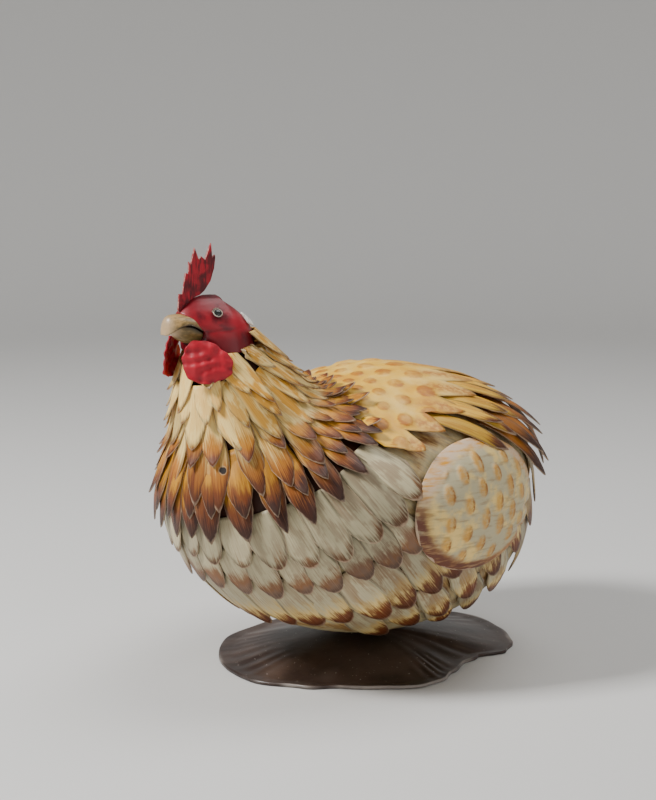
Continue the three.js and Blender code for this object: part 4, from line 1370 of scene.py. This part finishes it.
class HEN_OT_eyes(HenPart, bpy.types.Operator):
    """Dark domed eyes in a pale ring"""
    bl_idname = "hen.eyes"
    bl_label = "Eyes"

    def execute(self, context):
        s = Paint("Eye ring", roughness=0.12, coat=0.3)
        ring = s.mix(s.fade(s.mark("share"), 0.90, 0.96), EYE_RING, EYE_RIM)
        material = s.finish(s.mix(s.fade(s.mark("share"), 0.74, 0.79), EYE_DARK, ring))
        for side_name, side in SIDES:
            turn = np.array([EYE_TURN])
            up = np.array([EYE_UP])
            facing = head_facing(turn, up)[0]
            axis = unit(np.cross(facing, [0, 0, 1]))
            upward = np.cross(axis, facing)
            bm = blank("share")
            verts, across, along = grid_into(bm, 24, 24)
            around, share = disc_places(across, along)
            dome = 0.0014 * np.sqrt(np.clip(1 - (share / 0.76) ** 2, 0, 1))
            height = EYE_STANDOFF + dome + 0.0008 * bell(share - 0.84, 0.08)
            almond = 0.70 + 0.30 * abs(np.sin(around))
            p = on_head(turn, up) + facing * height[:, None]
            p = p + axis * (EYE_HALF_LENGTH * share * np.cos(around))[:, None]
            p = p + upward * (EYE_HALF_HEIGHT * share * almond * np.sin(around))[:, None]
            place(verts, p, side)
            write_marks(bm, verts, share=share)
            turn_toward(bm, (side, 0, 0))
            piece_from(bm, f"eyeball_{side_name}", material, [f"eye_{side_name}"], wall=SHEET)
        return {"FINISHED"}


# Foot plate: its place behind the egg's middle, its rim, its sheet and its colours
PLATE_SET_BACK = 0.017
PLATE_RIM_SHARE = 0.92
PLATE_RIM_TOP = 0.0032
PLATE_WALL = 0.0026
PLATE_GROOVE = 0.0005
PLATE_PATCH = (0.075, 0.045, 0.034, 1)
PLATE_RIDGE = (0.12, 0.085, 0.07, 1)
PLATE_FLECK = (0.42, 0.37, 0.33, 1)
PLATE_WORN = (0.30, 0.26, 0.23, 1)
# Plate outline as a direction in degrees (0 is the hen's left, 90 is rearward) and a reach in mm
PLATE_EDGE = [
    (-166, 122), (-141, 130), (-104, 134), (-88, 134), (-67, 121), (-52, 110), (-34, 110), (-17, 115),
    (-5, 111), (8, 101), (24, 96), (37, 103), (48, 128), (58, 137), (76, 142), (92, 147), (112, 141),
    (135, 129), (160, 121),
]


def plate_reach(turn):
    """How far the plate reaches in a direction, in metres."""
    turns = np.array([edge[0] for edge in PLATE_EDGE], float)
    reaches = np.array([edge[1] for edge in PLATE_EDGE], float) / 1000
    turns = np.append(turns, turns[0] + 360)
    reaches = np.append(reaches, reaches[0])
    turn = (turn - turns[0]) % 360 + turns[0]
    i = np.clip(np.searchsorted(turns, turn, side="right") - 1, 0, len(turns) - 2)
    return blend(reaches[i], reaches[i + 1], ease((turn - turns[i]) / (turns[i + 1] - turns[i])))


class HEN_OT_plate(HenPart, bpy.types.Operator):
    """Dark leaf-shaped foot plate, a thin hammered dome"""
    bl_idname = "hen.plate"
    bl_label = "Foot plate"

    def execute(self, context):
        k = self.paint
        bm = blank("rim", "groove")
        verts, across, along = grid_into(bm, 120, 120)
        turn, share = disc_places(across, along)
        reach = share * plate_reach(np.degrees(turn))
        inward = np.clip(share / PLATE_RIM_SHARE, 0, 1)
        top = PLATE_RIM_TOP + (PLATE_CROWN - PLATE_RIM_TOP) * np.clip(1 - inward ** 2, 0, 1) ** 1.25
        uneven = 0.6 + 0.4 * np.sin(7 * turn + 2)
        grooves = np.sin(33 * turn + 5 * np.sin(3 * turn) + 2 * np.sin(8 * turn))
        grooves = grooves * bell(share - 0.8, 0.14) * uneven
        top = top + PLATE_GROOVE * grooves * (share < 0.99)
        y = EGG_Y + PLATE_SET_BACK + reach * np.sin(turn)
        place(verts, np.stack([reach * np.cos(turn), y, top], axis=1))
        write_marks(bm, verts, rim=share, groove=grooves)
        turn_toward(bm, (0, 0, 1))
        s = Paint("Foot plate paint", roughness=0.38, coat=0.2, bump=0.5, distance=0.001)
        hammered = s.group("Hammered sheet", Dents=55.0, Grain=420.0)
        edge = s.shifted(s.mark("rim"), hammered["Patches"], 0.05)
        rubbed = s.fade(s.noise(s.object_place(), 14.0, 3.0), 0.42, 0.60)
        worn = s.times(s.fade(edge, 0.975, 0.997), rubbed)
        flecks = s.noise(s.object_place(), 380.0, 2.0)
        color = s.mix(s.fade(hammered["Patches"], 0.35, 0.7), k.plate, PLATE_PATCH)
        color = s.mix(s.fade(s.mark("groove"), 0.3, 1.0, 0.0, 0.35), color, PLATE_RIDGE)
        color = s.mix(s.fade(flecks, 0.70, 0.76), color, PLATE_FLECK)
        material = s.finish(s.mix(worn, color, PLATE_WORN), hammered["Height"])
        piece_from(bm, "plate_sheet", material, ["foot_plate"], wall=PLATE_WALL)
        return {"FINISHED"}


class HEN_PT_panel(bpy.types.Panel):
    """Lists the sizes, the paint and the pieces of the hen"""
    bl_label = "Sheet-metal hen"
    bl_idname = "HEN_PT_panel"
    bl_space_type = "VIEW_3D"
    bl_region_type = "UI"
    bl_category = "Hen"

    def draw(self, context):
        for group in (context.scene.hen_sizes, context.scene.hen_paint):
            for name in group.__annotations__:
                self.layout.prop(group, name)
        for operator in OPERATORS:
            self.layout.operator(operator.bl_idname)


OPERATORS = (
    HEN_OT_stage, HEN_OT_plate, HEN_OT_body, HEN_OT_hackle, HEN_OT_breast, HEN_OT_saddle,
    HEN_OT_wings, HEN_OT_head, HEN_OT_beak, HEN_OT_comb, HEN_OT_wattles, HEN_OT_eyes,
)
CLASSES = (HenSizes, HenPaint) + OPERATORS + (HEN_PT_panel,)


def register():
    for made in CLASSES:
        bpy.utils.register_class(made)
    bpy.types.Scene.hen_sizes = PointerProperty(type=HenSizes)
    bpy.types.Scene.hen_paint = PointerProperty(type=HenPaint)


def unregister():
    del bpy.types.Scene.hen_paint
    del bpy.types.Scene.hen_sizes
    for made in reversed(CLASSES):
        bpy.utils.unregister_class(made)


def main():
    register()
    leaf_paint_group()
    hammered_group()
    for operator in OPERATORS:
        group, name = operator.bl_idname.split(".")
        getattr(getattr(bpy.ops, group), name)()


if __name__ == "__main__":
    main()
